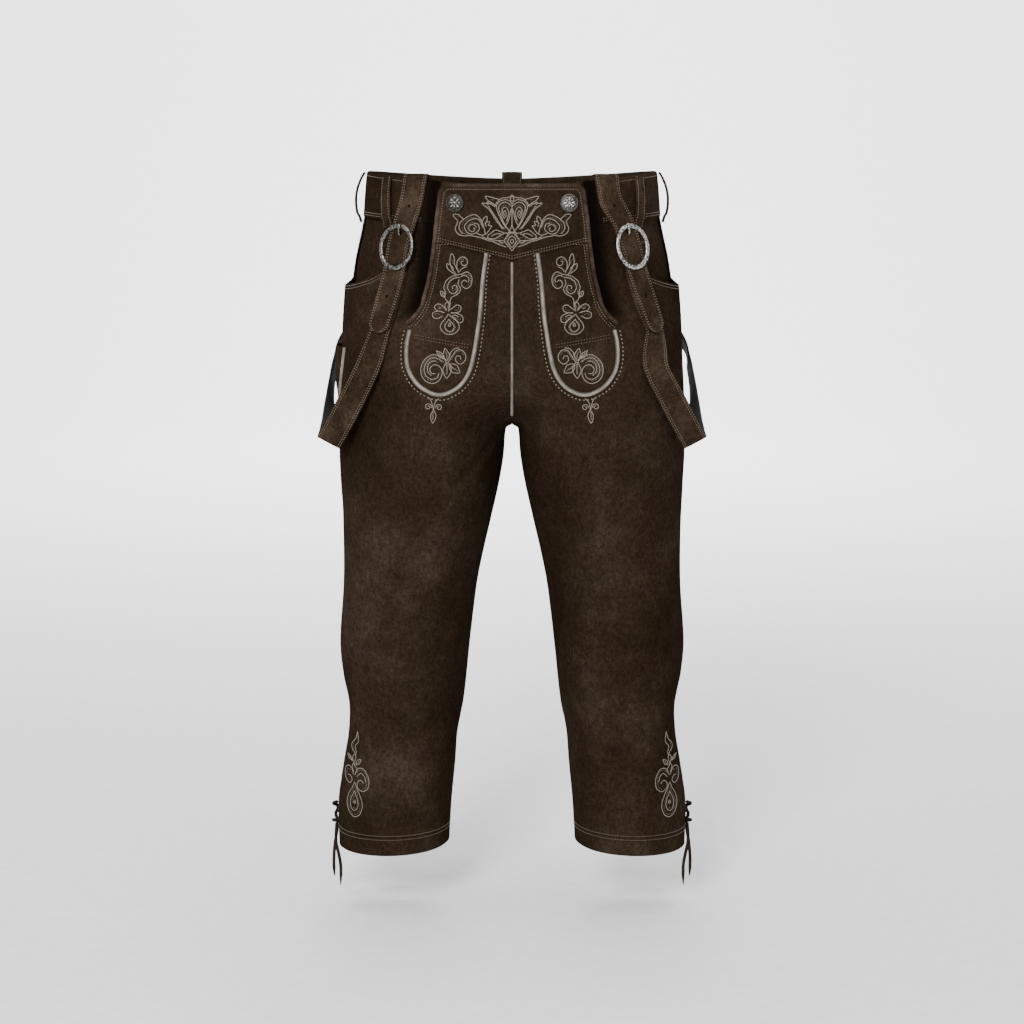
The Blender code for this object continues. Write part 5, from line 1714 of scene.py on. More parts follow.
@dataclass
class Sewing(Collector):
    """Rows of stitches, each a small rounded bar that sinks into the leather."""

    pitch: float = 0.003
    length: float = 0.0018
    width: float = 0.0009
    height: float = 0.0006
    rng: np.random.Generator = field(default_factory=lambda: np.random.default_rng(17))

    def row(self, route: Array, normals: Array) -> None:
        """Sew one row along a route.

        Args:
            route: Points on the leather, close together.
            normals: The leather's normals there.
        """
        run = run_of(route)
        count = int(run[-1] / self.pitch)
        if count < 1:
            return
        at = (np.arange(count) + 0.5) * run[-1] / count
        centre = read_at(at, run, route)
        along = unit(read_at(at + 0.001, run, route) - read_at(at - 0.001, run, route))
        out = unit(read_at(at, run, normals))
        out = square_to(along, out)
        across = np.cross(out, along)
        along = unit(along + across * self.rng.uniform(-0.1, 0.1, (count, 1)))
        turn = circle(STITCH_SIDES)
        size = self.rng.uniform(0.88, 1.1, (count, 1, 1))
        rings = []
        for place, thick in STITCH_RINGS:
            sink = self.height * (0.1 - 0.9 * (2.0 * place) ** 4)
            middle = centre + along * place * self.length + out * sink
            side = across[:, None] * (np.cos(turn) * self.width / 2.0 * thick)[:, None]
            lift = out[:, None] * (np.sin(turn) * self.height * thick)[:, None]
            rings.append(middle[:, None] + (side + lift) * size)
        points = np.stack(rings, axis=1).reshape(count, -1, 3)
        faces = tube_faces(len(STITCH_RINGS), STITCH_SIDES)
        each = points.shape[1]
        shift = (np.arange(count) * each)[:, None, None]
        self.add(points.reshape(-1, 3), (faces[None] + shift).reshape(-1, 4))


def tube_faces(rings: int, sides: int) -> Array:
    """Return the quads of a closed tube, the ends filled by folded quads.

    Args:
        rings: How many rings it has.
        sides: How many points each ring has; an odd number leaves a sunk triangle open at the ends.

    Returns:
        The faces as four vertex numbers each.
    """
    index = np.arange(rings * sides).reshape(rings, sides)
    after = np.roll(index, -1, axis=1)
    walls = np.stack([index[:-1], after[:-1], after[1:], index[1:]], axis=-1).reshape(-1, 4)
    caps = []
    for ring, order in ((index[0], 1), (index[-1], -1)):
        for k in range(sides // 2 - 1):
            quad = [ring[k], ring[sides - 1 - k], ring[sides - 2 - k], ring[k + 1]]
            caps.append(quad[::order])
    return np.vstack([walls, caps])


@dataclass
class Fancywork(Collector):
    """Embroidery: thin lines of thread with a light twist, laid on the leather."""

    radius: float = 0.00046
    step: float = 0.00062
    twist: float = 0.0028
    seed_pitch: float = 1.9
    sides: int = 6
    rng: np.random.Generator = field(default_factory=lambda: np.random.default_rng(23))

    def line(self, rows: Sequence[tuple[float, float]], lift: float, thick: float = 1.0) -> None:
        """Lay one line on both sides of the front.

        Args:
            rows: Its x and z in millimetres.
            lift: How high the leather lies there.
            thick: Its thickness, as a share of the usual one.
        """
        knots = np.array(rows, float) / 1000.0
        length = length_of(spline(knots, 60))
        count = max(5, int(length / self.step))
        flat = spline(knots, count)
        wave = np.cumsum(self.rng.normal(0.0, 0.00007, (count, 2)), axis=0)
        flat = flat + wave - even(count)[:, None] * wave[-1]
        run = np.linspace(0.0, length, count)
        for hand in Hand:
            if hand is Hand.LEFT and np.abs(knots[:, 0]).max() < 1e-6:
                continue
            x = np.where(flat[:, 0] < 0.0, 0.0, flat[:, 0]) * hand.value
            centres, normals = self.shop.form.on_flap(x, flat[:, 1], lift)
            across, out = frames_through(centres, normals)
            pulse = 0.62 + 0.5 * np.abs(np.sin(math.pi * run / self.twist + self.rng.uniform(0.0, 3.0)))
            ends = np.minimum(1.0, 0.35 + np.minimum(run, length - run) / 0.0009)
            size = self.radius * thick * pulse * ends
            turn = circle(self.sides)
            ring = (
                across[:, None] * np.cos(turn)[None, :, None] + out[:, None] * np.sin(turn)[None, :, None] * 0.9
            ) * size[:, None, None]
            points = centres[:, None] + out[:, None] * self.radius * 0.25 + ring
            self.add(points.reshape(-1, 3), tube_faces(count, self.sides))

    def seeds(self, rows: Sequence[tuple[float, float]], lift: float) -> None:
        """Lay a row of small seed stitches.

        Args:
            rows: Its x and z in millimetres.
            lift: How high the leather lies there.
        """
        route = spline(np.array(rows, float), 80)
        run = run_of(route)
        for at in np.arange(0.6, run[-1] - 0.6, self.seed_pitch):
            self.line(read_at(np.array([at - 0.45, at + 0.45]), run, route), lift, 0.85)

    def leaf(self, base: tuple, tip: tuple, bulge: float, lift: float) -> None:
        """Lay a pointed leaf with a vein.

        Args:
            base: Where it starts, in millimetres.
            tip: Its tip.
            bulge: Half its width.
            lift: How high the leather lies there.
        """
        start, end = np.array(base, float), np.array(tip, float)
        way = end - start
        side = np.array([-way[1], way[0]]) / np.linalg.norm(way) * bulge
        for sign in (1.0, -1.0):
            rows = [start, start + way * 0.22 + side * 0.72 * sign, start + way * 0.5 + side * sign,
                    start + way * 0.8 + side * 0.52 * sign, end]
            self.line(rows, lift)
        self.line([start + way * 0.1, start + way * 0.42 + side * 0.1, start + way * 0.74], lift, 0.8)

    def drop(self, top: tuple, foot: tuple, width: float, lift: float) -> None:
        """Lay a teardrop.

        Args:
            top: Its point, in millimetres.
            foot: Its round end.
            width: Its width.
            lift: How high the leather lies there.
        """
        start, end = np.array(top, float), np.array(foot, float)
        way = end - start
        side = np.array([-way[1], way[0]]) / np.linalg.norm(way) * width / 2.0
        shares = ((0.0, 0.0), (0.18, 0.32), (0.42, 0.82), (0.66, 1.0), (0.86, 0.76), (0.97, 0.34), (1.0, 0.0))
        rows = [start + way * along + side * out for along, out in shares]
        rows += [start + way * along - side * out for along, out in shares[-2::-1]]
        self.line(rows, lift)

    def curl(self, centre: tuple, start: float, end: float, angle: float, turns: float, lift: float) -> None:
        """Lay a spiral.

        Args:
            centre: Its centre, in millimetres.
            start: Its outer radius.
            end: Its inner radius.
            angle: Where it starts, in degrees.
            turns: How many turns it makes; negative runs clockwise.
            lift: How high the leather lies there.
        """
        share = even(14)
        way = math.radians(angle) + share * turns * 2.0 * math.pi
        reach = start + (end - start) * share
        rows = np.stack([centre[0] + np.cos(way) * reach, centre[1] + np.sin(way) * reach], axis=1)
        self.line(rows.tolist(), lift)


ON_YOKE = 0.0
ON_TONGUE = TONGUE_GAP + TONGUE_WALL
ON_LEG = 0.0

# Lines of the embroidery on the right side; the left one mirrors them
YOKE_LINES = drawn(
    (0, -10, 24, -26, 40, -10, 42, -6, 50, -34, 30, -54), (0, -26, 22, -28, -20, -30),
    (0, -108, 34, 32, 44, 10, 48, -14, 40, -42, -2, -58, -36, -80, -40, -70, -26, -44),
    (6, -136, 32, 32, 42, 10, 40, -20, 18, -42, -16, -58, -30, -66, -24, -56, -30, 36, -20, 70, -10, 70),
    (108, -280, -52, -86, -58, -64), (60, -300, -22, 60, 4, 60, 32, 36, 32, -20, 2, -50, -28, -60),
    (70, -260, -10, 44, 16, 36, 14, -28, -16, -32), (0, -108, 4, -72, -4, -100, 14, -80, 30, -66, 26, -64),
    (126, -64, 70, 18, 92, 18, -26, -46, -62, -38, -14, -28), (186, -140, 44, 34, 44, 20, -14, -34),
    (214, -110, 56, 4, 48, 4, -28, -32, -44, -36, -46, -76, -48, -72, -52, -64),
    (260, -126, -46, -68, -44, -70, -46, -72, -44, -48), (0, -410, 44, -42, 40, -48, -36, -62, -48, -56),
    (0, -450, 32, -34, 16, -28, -26, -46, -22, -24), (0, -488, 20, -24, -20, -30),
    (10, -420, 60, -6, 54, 20, 52, 14, 58, -42, 30, -42, -66, -12, -60, 28, -52, 28), (104, -444, 58, 14, 64, -32),
    (84, -504, 54, -2, 58, 4, 72, 16, 62, 26), (76, -526, 44, 0, 28, 18),
    (62, -576, 82, 26, 100, 34, 100, 32, 96, 22, 86, 2, 62, 24, 28, 54, -18, 54, -10, 32, 36, 36, 14, 32, -52, 4,
     -46, -34, -18, -26),
    (530, -436, 42, 50, -6, 60, -42, 46, -52, 32, -56, 20, -56, -24, -38, -56, -20, -68, -18, -60, -40, 46),
    (284, -436, 42, -10, 58, 14),
    (316, -368, 26, 74, 40, 26, 46, -8, 48, -28, 36, -46, -16, -54, -50, -30, -60, 14, -34, 42, 18, 50, 42, 12),
    (384, -366, 30, 32, 42, -12, 8, -40, -36, -22, -30, 22, 24, 20),
    (244, -390, -26, 42, 38, 4, -12, 42, 42, -10, -8, -44), (290, -324, -22, 48, 4, 34, 34, -28, 14, -34))

TONGUE_LINES = drawn(
    (608, -860, 34, 46, 26, 58, -2, 52, -16, 54, -30, -46, 4, -58, -24, -52, -24, -46),
    (700, -754, -8, -54, -44, -44, -54, -24), (700, -754, -44, -24, -30, -42),
    (574, -858, 20, 64, -8, 62, -34, 40, -44, 2, -28, -36, 14, -44, 40, -4, 14, 36, -26, 10),
    (566, -846, -30, 40, -48, 20),
    (538, -866, -50, 22, -42, -26, -20, -56, 14, -62, 44, -36, 46, 18, 12, 42, -32, 28, -28, -20),
    (552, -894, -52, 8, -34, -36, 2, -42), (526, -868, 70, -10, 64, -26, 54, -48, 20, -64, -16, -68, 18, -44),
    (550, -906, 62, -10, 52, -34, 26, -56, -20, -56, -50, -14, -34, 36, 16, 44, 38, -6, -2, -32),
    (570, -926, 8, -56, -24, -54, 32, -50, 60, -32), (726, -1090, -14, -56, -36, -42, 16, -46),
    (646, -1118, 20, -40, -4, -46), (690, -1276, -46, 36, -48, 40, -42, -16, 6, -48, 48, -22, 52, -4),
    (660, -1296, -64, -2, -58, -32, -14, -50, 40, -20, 42, 32, 42, 52),
    (704, -1270, 40, 52, 48, 22, 38, -34, -28, -40, -62, -14),
    (726, -1294, 68, 16, 58, -16, 4, -46, -52, -16, -58, 32), (690, -1264, -20, 50, 28, 38, 26, -40, -20, -48),
    (574, -1342, 26, 24, 34, 2), (760, -1248, 32, 10))

PAISLEY_LINES = drawn(
    (720, -1866, 22, 68, 58, 40, 82, 6, 76, -46, 44, -82, -8, -94, -56, -66, -80, -16, -66, 40, -24, 72, 28, 66,
     60, 20, 44, -38, -16, -54, -44, -4),
    (762, -1834, 54, 40, 68, 6, 60, -46, 24, -72, -22, -74, -62, -40, -60, 24, -22, 52),
    (836, -1820, 52, -8, 38, -46, -2, -60, -40, -46),
    (704, -1836, -42, 62, -50, 70, -60, 8, -42, -50, 8, -70, 52, -34, 48, 32, -8, 50, -42, 4, -6, -36),
    (690, -1784, -24, 64, -46, 42, -44, 4))

TREFOIL_LINES = drawn((914, -2226, -24, -44, -16, -56, -6, -42), (806, -2232, 36, -38, 18, -54, 4, -44))

KNEE_LINES = drawn(
    (1782, -6170, 22, -90, 44, -66, 6, -64, -44, -60, 4, -70, 36, -64, -18, -68),
    (1782, -6170, -12, -98, 42, -76, -6, -72, 46, -66, -24, -74, -34, -60, 24, -62),
    (1832, -6680, 28, 66, 50, 6, 30, -58, -4, -82, -46, -42, -36, 38, 20, 52, 30, -6),
    (1814, -6678, -28, 72, -50, 30, -52, -34, -30, -84, 10, -98, 52, -54, 60, 22, 12, 60, -40, 42, -34, -34),
    (1794, -6694, -44, 54, -44, -26, -16, -66))


# Rows of seed stitches between the lines, written the same way
YOKE_SEEDS = drawn(
    (26, -124, 38, 38, 46, -8, 38, -42, 0, -50, -30, -68, -38, -66),
    (26, -154, 30, 28, 40, -2, 22, -32, -6, -54, -24, -50), (22, -180, 2, -60, 20, -56),
    (286, -122, -50, -56, -46, -66, -46, -66), (202, -68, 48, 12), (86, -474, 48, -4, 48, -6),
    (94, -544, 86, 26, 90, 16, 90, 34, 100, 20, 86, 34, 40, 46),
    (332, -336, 34, 52, 50, 26, 60, -16, 50, -38, 14, -54, -16, -46), (404, -302, 50, -24, 30, -42, -34, -42),
    (580, -252, 28, 6), (20, -458, 42, -42, -32, -60))
TONGUE_SEEDS = drawn(
    (640, -834, 28, 38), (634, -760, 14, 60), (516, -708, 38, -6, 18, -42),
    (518, -868, -52, -8, -22, -48, 12, -52, 38, -30), (584, -894, 68, -32, 50, -50, 10, -60, -12, -58),
    (604, -1020, 20, -34, 36, 18), (604, -970, -26, -70, 32, -48), (576, -1226, 8, -32, 44, -8),
    (550, -1360, 34, 0, 38, 30), (742, -1244, 40, 28, 28, -20), (774, -1314, 46, 12, 12, -26),
    (636, -1376, -22, -64, 22, -54, 34, -22, 40, 24, 24, 52, -20, 66), (688, -1240, 10, 36),
    (740, -1846, 46, 58, 78, 20, 78, -42, 42, -76, -10, -78, -50, -58, -68, -16),
    (810, -1842, 56, 34, 56, -28, 24, -68, -30, -66), (666, -1804, -54, 80, -56, 8, -26, -44), (590, -1930, 70, 50),
    (720, -1876, 4, -90))
KNEE_SEEDS = drawn(
    (1796, -6220, 28, -80, 16, -70, -16, -66, 10, -64, -12, -96), (1868, -6640, 46, -4, 4, -90),
    (1790, -6632, -66, 34, -48, -78, 12, -108, 48, -40),
    (1824, -6810, 52, -130, 18, -96, -50, -94, -60, 14, -30, 86, 28, 110, 36, 90), (1824, -6906, 20, -74),
    (1840, -7056, -32, -8))


@dataclass
class Embroidery:
    """The traditional scrolls and flowers on the yoke, the tongues and the knees."""

    shop: Workshop

    def build(self) -> None:
        """Lay every motif."""
        work = Fancywork(self.shop, "scroll_embroidery")
        for table, lift in ((YOKE_SEEDS, ON_YOKE), (TONGUE_SEEDS, ON_TONGUE), (KNEE_SEEDS, ON_LEG)):
            for rows in table:
                work.seeds(rows, lift)
        for rows in YOKE_LINES:
            work.line(rows, ON_YOKE)
        for rows in TONGUE_LINES + PAISLEY_LINES:
            work.line(rows, ON_TONGUE)
        work.drop((68.6, -130.4), (66.6, -153.6), 20.5, ON_TONGUE)
        work.drop((68.2, -136.2), (67.0, -150.0), 10.0, ON_TONGUE)
        work.curl((67.8, -142.6), 2.2, 0.5, 60.0, 1.2, ON_TONGUE)
        work.leaf((72.6, -112.4), (77.0, -105.4), 2.0, ON_TONGUE)
        work.leaf((70.8, -183.0), (71.8, -201.0), 4.6, ON_TONGUE)
        work.leaf((71.0, -181.6), (73.4, -168.0), 3.2, ON_TONGUE)
        work.leaf((74.2, -179.6), (83.2, -170.8), 2.4, ON_TONGUE)
        work.leaf((69.2, -185.4), (57.2, -194.6), 4.4, ON_TONGUE)
        for rows in TREFOIL_LINES:
            work.line(rows, ON_LEG)
        work.curl((92.6, -232.6), 3.9, 1.0, -160.0, -1.35, ON_LEG)
        work.curl((80.4, -233.4), 3.9, 1.0, -20.0, 1.35, ON_LEG)
        work.leaf((86.4, -236.4), (87.8, -251.2), 3.0, ON_LEG)
        for rows in KNEE_LINES:
            work.line(rows, ON_LEG)
        work.drop((182.4, -676.0), (182.6, -716.0), 19.0, ON_LEG)
        work.drop((182.4, -686.0), (182.6, -710.0), 9.5, ON_LEG)
        work.curl((182.5, -699.0), 2.4, 0.5, 90.0, 1.2, ON_LEG)
        work.leaf((180.6, -655.6), (173.8, -648.0), 2.0, ON_LEG)
        work.leaf((184.8, -652.6), (191.4, -647.6), 1.8, ON_LEG)
        work.finish(FANCYWORK, "piping")


@dataclass
class SeamStitching:
    """The sewn rows along seams, edges and straps."""

    shop: Workshop
    front: DropFront
    straps: Strapping
    rows: tuple[float, float] = (0.0022, 0.005)
    edge_rows: tuple[float, float] = (0.0058, 0.0088)
    hem_rows: tuple[float, float] = (0.0178, 0.0222)
    side_rows: tuple[float, float] = (0.0026, 0.0058)
    seat_rows: tuple[float, float] = (0.0026, 0.0056)
    band_rows: tuple[float, float] = (0.002, 0.0048)
    band_top_row: float = 0.0036
    strap_offs: tuple[float, float] = (0.002, 0.0042)
    loop_off: float = 0.0022

    def flap_edge(self, off: float, count: int) -> Array:
        """Return the drop front's free edge, moved inwards.

        Args:
            off: How far inwards.
            count: How many points.

        Returns:
            The route's x and z, from slit end to slit end.
        """
        line = self.front.binding_route(0.0, count)
        along = unit(np.gradient(line, axis=0))
        return line + np.stack([-along[:, 1], along[:, 0]], axis=1) * off

    def on_waistband(self, face: Face, hand: Hand, above_seam: float | None, below_top: float | None):
        """Return a route along the waistband.

        Args:
            face: Front or back.
            hand: Which side.
            above_seam: How far above the lower seam, or nothing.
            below_top: How far below the top edge, or nothing.

        Returns:
            The points and normals.
        """
        form = self.shop.form
        s = np.linspace(0.015, 0.985, 240)
        x = form.ring(face, s, np.zeros_like(s)).real
        if above_seam is not None:
            z = form.waist_seam(x) + above_seam
        else:
            z = form.waist_top(face, x) - below_top
        height = form.waist_top(face, x) - form.waist_seam(x)
        share = (form.waist_top(face, x) - z) / height
        puff = 0.0008 + 0.0007 * np.sin(math.pi * np.clip(share * 1.05, 0.0, 1.0)) ** 0.6
        return form.skin(face, hand, s, z, puff)

    def drop_front_rows(self, sewing: Sewing) -> None:
        """Sew the yoke's seam and the rows inside the binding."""
        form = self.shop.form
        x = np.linspace(-0.0815, 0.0815, 300)
        for off in self.rows:
            sewing.row(*form.on_flap(x, form.yoke_seam(x) + GAP + off))
        for off in self.edge_rows:
            route = self.flap_edge(off, 700)
            low = route[:, 1] < form.yoke_seam(np.abs(route[:, 0])) - 0.0008
            if off > 0.008:
                route, low = route[low], low[low]
            inner = np.abs(route[:, 0]) < Column(TONGUE, 2)(np.clip(route[:, 1], -0.2155, TONGUE_TOP)) - 0.0004
            lift = np.where(low & inner, ON_TONGUE, 0.0)
            sewing.row(*form.on_flap(route[:, 0], route[:, 1], lift))

    def tongue_rows(self, fine: Sewing) -> None:
        """Sew the faint double row across each tongue."""
        form = self.shop.form
        share = even(120)
        for hand in Hand:
            for off in (0.0, -0.0033):
                x = mix(0.108, 0.047, share)
                z = mix(-0.1545, -0.164, share) + off
                fine.row(*form.on_flap(x * hand.value, z, ON_TONGUE))

    def outline_dots(self, dots: Sewing) -> None:
        """Sew the light row that follows the piping at a distance."""
        form = self.shop.form
        for hand in Hand:
            share = even(500)
            near = self.front.beside_border(0.0068, 500)
            far = self.front.beside_border(0.0092, 500)
            route = mix(near, far, smooth(share / 0.5)[:, None])
            dots.row(*form.on_flap(route[:, 0] * hand.value, route[:, 1]))

    def waist_rows(self, sewing: Sewing) -> None:
        """Sew the waistband's top row and the double row above its lower seam."""
        for face in Face:
            for hand in Hand:
                for above, below in ((None, self.band_top_row), *((row, None) for row in self.band_rows)):
                    points, normals = self.on_waistband(face, hand, above, below)
                    seen = (np.abs(points[:, 0]) > 0.099) | (face is Face.BACK)
                    sewing.row(points[seen], normals[seen])

    def leg_rows(self, sewing: Sewing, panels: LegPanels) -> None:
        """Sew the hems, side seams, inseams and the seat seam."""
        form = self.shop.form
        s = np.linspace(0.02, 0.98, 260)
        for hand in Hand:
            for face in Face:
                for up in self.hem_rows:
                    z = HEM + up - panels.hem_drop(s, np.full_like(s, HEM + up))
                    sewing.row(*form.skin(face, hand, s, z))
            z = np.linspace(-0.034, -0.684, 420)
            for off in self.side_rows:
                y = np.full_like(z, off)
                sewing.row(*form.beside(hand, y, z))
            z = np.linspace(-0.285, -0.735, 300)
            sewing.row(*form.skin(Face.BACK, hand, np.full_like(z, 0.976), z))
            z = np.linspace(-0.04, -0.235, 160)
            for off in self.seat_rows:
                sewing.row(*form.above(Face.BACK, np.full_like(z, off * hand.value), z))
            for side in (-1.0, 1.0):
                z = np.linspace(-0.692, -0.736, 40)
                sewing.row(*form.beside(hand, np.full_like(z, 0.0045 * side), z))

    def pocket_rows(self, sewing: Sewing) -> None:
        """Sew the double row below each hip pocket's mouth."""
        form = self.shop.form
        mouth = spline([(x, z) for z, x in POCKET_MOUTH], 200)
        along = unit(np.gradient(mouth, axis=0))
        for off in self.rows:
            route = mouth + np.stack([along[:, 1], -along[:, 0]], axis=1) * off
            route = route[(route[:, 0] < 0.1845) & (route[:, 1] < -0.03)]
            for hand in Hand:
                sewing.row(*form.above(Face.FRONT, route[:, 0] * hand.value, route[:, 1]))

    def strap_rows(self, sewing: Sewing) -> None:
        """Sew the rows along both edges of every strap."""
        for name, (centres, across, out, share) in self.straps.runs.items():
            narrow = name.startswith("loop") or name == "hanger"
            offs = (self.loop_off,) if narrow else self.strap_offs
            for off in offs:
                half = self.straps.width / 2.0 * share - off
                use = half > 0.0015
                for sign in (-1.0, 1.0):
                    route = centres + across * (half * sign)[:, None] + out * self.straps.wall / 2.0
                    sewing.row(route[use], out[use])

    def build(self, panels: LegPanels) -> None:
        """Sew everything."""
        sewing = Sewing(self.shop, "seam_stitches")
        self.drop_front_rows(sewing)
        self.waist_rows(sewing)
        self.leg_rows(sewing, panels)
        self.pocket_rows(sewing)
        sewing.finish(SEWING, "suede")
        edges = Sewing(self.shop, "strap_stitches")
        self.strap_rows(edges)
        edges.finish(SEWING, "suede")
        fine = Sewing(self.shop, "tongue_seam_stitches", width=0.0006, height=0.0004)
        self.tongue_rows(fine)
        fine.finish(SEWING, "flap_suede")
        dots = Sewing(self.shop, "outline_stitches", pitch=0.0045, length=0.0023, width=0.0013, height=0.0008)
        self.outline_dots(dots)
        dots.finish(FANCYWORK, "piping")


@dataclass
class Metalwork:
    """The buckles, prongs and buttons of antique silver."""

    shop: Workshop
    straps: Strapping
    ring_width: float = 0.046
    ring_height: float = 0.0515
    ring_band: float = 0.0052
    ring_thickness: float = 0.0026
    ring_level: float = 0.003
    bar_level: float = -0.0027
    bar_radius: float = 0.0011
    ring_beads: int = 32
    rim_beads: int = 36
    petals: int = 8

    def standing(self, frame: tuple[Array, Array, Array]) -> Matrix:
        """Return the matrix of a piece whose Z is outward and whose Y runs up the strap."""
        centre, across, out = (Vector(part) for part in frame)
        up = out.cross(across)
        if up.z < 0.0:
            up.negate()
        matrix = Matrix((up.cross(out), up, out)).transposed().to_4x4()
        matrix.translation = centre
        return matrix

    def joined(self, parts: list[Piece], name: str, matrix: Matrix, relief: float) -> Piece:
        """Join parts modelled at the origin and put them in place.

        Args:
            parts: The parts; the first one leads.
            name: The piece's name.
            matrix: Where it goes.
            relief: How deep the hollows lie in which the silver has darkened.

        Returns:
            The piece, with its place applied.
        """
        deselect_all()
        for part in parts:
            part.select_set(True)
        bpy.context.view_layer.objects.active = parts[0]
        bpy.ops.object.join()
        bpy.ops.object.transform_apply(location=True, rotation=True, scale=True)
        piece = bpy.context.object
        piece.name = name
        piece.data.name = name
        level = coordinates(piece)[:, 2]
        below = level.max() - level
        set_attribute(piece, "hollow", 0.92 * smooth((below - relief * 0.3) / (relief * 0.55)))
        piece.matrix_world = matrix
        bpy.ops.object.transform_apply(location=True, rotation=True, scale=True)
        bpy.ops.object.shade_smooth_by_angle(angle=math.radians(38))
        return piece

    def ball(self, radius: float, place: Triple, scale: Triple,
             turn: float = 0.0) -> Piece:
        """Add a flattened bead.

        Args:
            radius: Its radius.
            place: Its centre.
            scale: Its shares along x, y and z.
            turn: Its turn about the upward axis.

        Returns:
            The bead.
        """
        bpy.ops.mesh.primitive_uv_sphere_add(
            segments=10, ring_count=6, radius=radius, location=place, rotation=(0.0, 0.0, turn), scale=scale)
        return bpy.context.object

    def buckle(self, hand: Hand) -> None:
        """Make the chased oval ring with its bar."""
        a = (self.ring_width - self.ring_band) / 2.0
        b = (self.ring_height - self.ring_band) / 2.0
        deselect_all()
        bpy.ops.mesh.primitive_torus_add(
            major_segments=96, minor_segments=16, major_radius=b, minor_radius=self.ring_band / 2.0,
            location=(0.0, 0.0, self.ring_level))
        ring = bpy.context.object
        bpy.ops.object.mode_set(mode="EDIT")
        bpy.ops.mesh.select_all(action="SELECT")
        bpy.ops.transform.resize(value=(a / b, 1.0, self.ring_thickness / self.ring_band))
        bpy.ops.mesh.select_all(action="DESELECT")
        form = bmesh.from_edit_mesh(ring.data)
        for face in form.faces:
            middle = face.calc_center_median()
            if face.normal.z > 0.8:
                turn = math.atan2(middle.y / b, middle.x / a) / (2.0 * math.pi)
                face.select = int((turn + 1.0) * 48.0) % 2 == 0
        bmesh.update_edit_mesh(ring.data)
        bpy.ops.mesh.inset(thickness=0.00012, depth=-0.00035, use_individual=False)
        bpy.ops.object.mode_set(mode="OBJECT")
        parts = [ring]
        for k in range(self.ring_beads):
            turn = 2.0 * math.pi * (k + 0.5) / self.ring_beads
            place = (math.cos(turn) * a, math.sin(turn) * b, self.ring_level + self.ring_thickness * 0.46)
            parts.append(self.ball(0.00105, place, (1.25, 0.8, 0.55), turn))
        bpy.ops.mesh.primitive_cylinder_add(
            vertices=16, radius=self.bar_radius, depth=2.0 * a, location=(0.0, 0.0, self.bar_level),
            rotation=(0.0, math.pi / 2, 0.0))
        parts.append(bpy.context.object)
        for sign in (-1.0, 1.0):
            height = self.ring_level - self.bar_level + self.bar_radius
            bpy.ops.mesh.primitive_cylinder_add(
                vertices=16, radius=self.bar_radius, depth=height,
                location=(a * sign, 0.0, self.bar_level - self.bar_radius + height / 2.0))
            parts.append(bpy.context.object)
        # The right hand's silver is the brighter copy with painted highlight
        finish = SILVER if hand is Hand.LEFT else SILVER_PAINTED_HIGHLIGHT
        piece = self.joined(parts, f"oval_ring_{hand.label}", self.standing(self.straps.rings[hand]), 0.0027)
        self.shop.place(piece, finish, "antique_silver", [f"buckle_{hand.label}"])

    def prong(self, hand: Hand) -> None:
        """Make the prong that rests on the ring's top."""
        top = self.ring_height / 2.0 - self.ring_band / 2.0
        stops = ((-0.01, 0.0022, 0.75), (-0.008, 0.0036, 0.9), (-0.005, 0.005, 1.0), (-0.0015, 0.0056, 1.0),
                 (0.003, 0.0057, 0.8))
        deselect_all()
        bpy.ops.mesh.primitive_circle_add(
            vertices=14, radius=0.0012 * stops[0][2], fill_type="NGON",
            location=(0.0, top + stops[0][0], stops[0][1]), rotation=(math.radians(55), 0.0, 0.0))
        prong = bpy.context.object
        bpy.ops.object.transform_apply(location=True, rotation=True, scale=True)
        bpy.ops.object.mode_set(mode="EDIT")
        bpy.ops.mesh.select_all(action="SELECT")
        for before, now in zip(stops, stops[1:]):
            move = (0.0, now[0] - before[0], now[1] - before[1])
            bpy.ops.mesh.extrude_region_move(TRANSFORM_OT_translate={"value": move})
            bpy.ops.transform.resize(value=(now[2] / before[2],) * 3)
        bpy.ops.mesh.select_all(action="SELECT")
        bpy.ops.mesh.normals_make_consistent(inside=False)
        bpy.ops.object.mode_set(mode="OBJECT")
        # The right hand's silver is the brighter copy with painted highlight
        finish = SILVER if hand is Hand.LEFT else SILVER_PAINTED_HIGHLIGHT
        piece = self.joined([prong], f"ring_prong_{hand.label}", self.standing(self.straps.rings[hand]), 0.01)
        self.shop.place(piece, finish, "antique_silver", [f"prong_{hand.label}"])

    def button(self, name: str, node: str, at: Array, out: Array, radius: float, height: float,
               finish: SilverFinish) -> None:
        """Make a rimmed button with a flower in relief.

        Args:
            name: The piece's name.
            node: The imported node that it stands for.
            at: The middle of its foot.
            out: The outward direction.
            radius: Its radius.
            height: Its height.
            finish: Its silver.
        """
        deselect_all()
        bpy.ops.mesh.primitive_cylinder_add(
            vertices=64, radius=radius, depth=height * 0.62, location=(0.0, 0.0, height * 0.31))
        disc = bpy.context.object
        bpy.ops.object.mode_set(mode="EDIT")
        bpy.ops.mesh.select_all(action="DESELECT")
        form = bmesh.from_edit_mesh(disc.data)
        for face in form.faces:
            face.select = face.normal.z > 0.9
        bmesh.update_edit_mesh(disc.data)
        bpy.ops.mesh.inset(thickness=radius * 0.05, depth=height * 0.12)
        bpy.ops.mesh.inset(thickness=radius * 0.11, depth=0.0)
        bpy.ops.mesh.inset(thickness=radius * 0.03, depth=-height * 0.22)
        bpy.ops.mesh.inset(thickness=radius * 0.2, depth=height * 0.14)
        bpy.ops.mesh.inset(thickness=radius * 0.25, depth=height * 0.16)
        bpy.ops.mesh.inset(thickness=radius * 0.2, depth=height * 0.05)
        bpy.ops.object.mode_set(mode="OBJECT")
        parts = [disc]
        for k in range(self.rim_beads):
            turn = 2.0 * math.pi * k / self.rim_beads
            place = (math.cos(turn) * radius * 0.875, math.sin(turn) * radius * 0.875, height * 0.75)
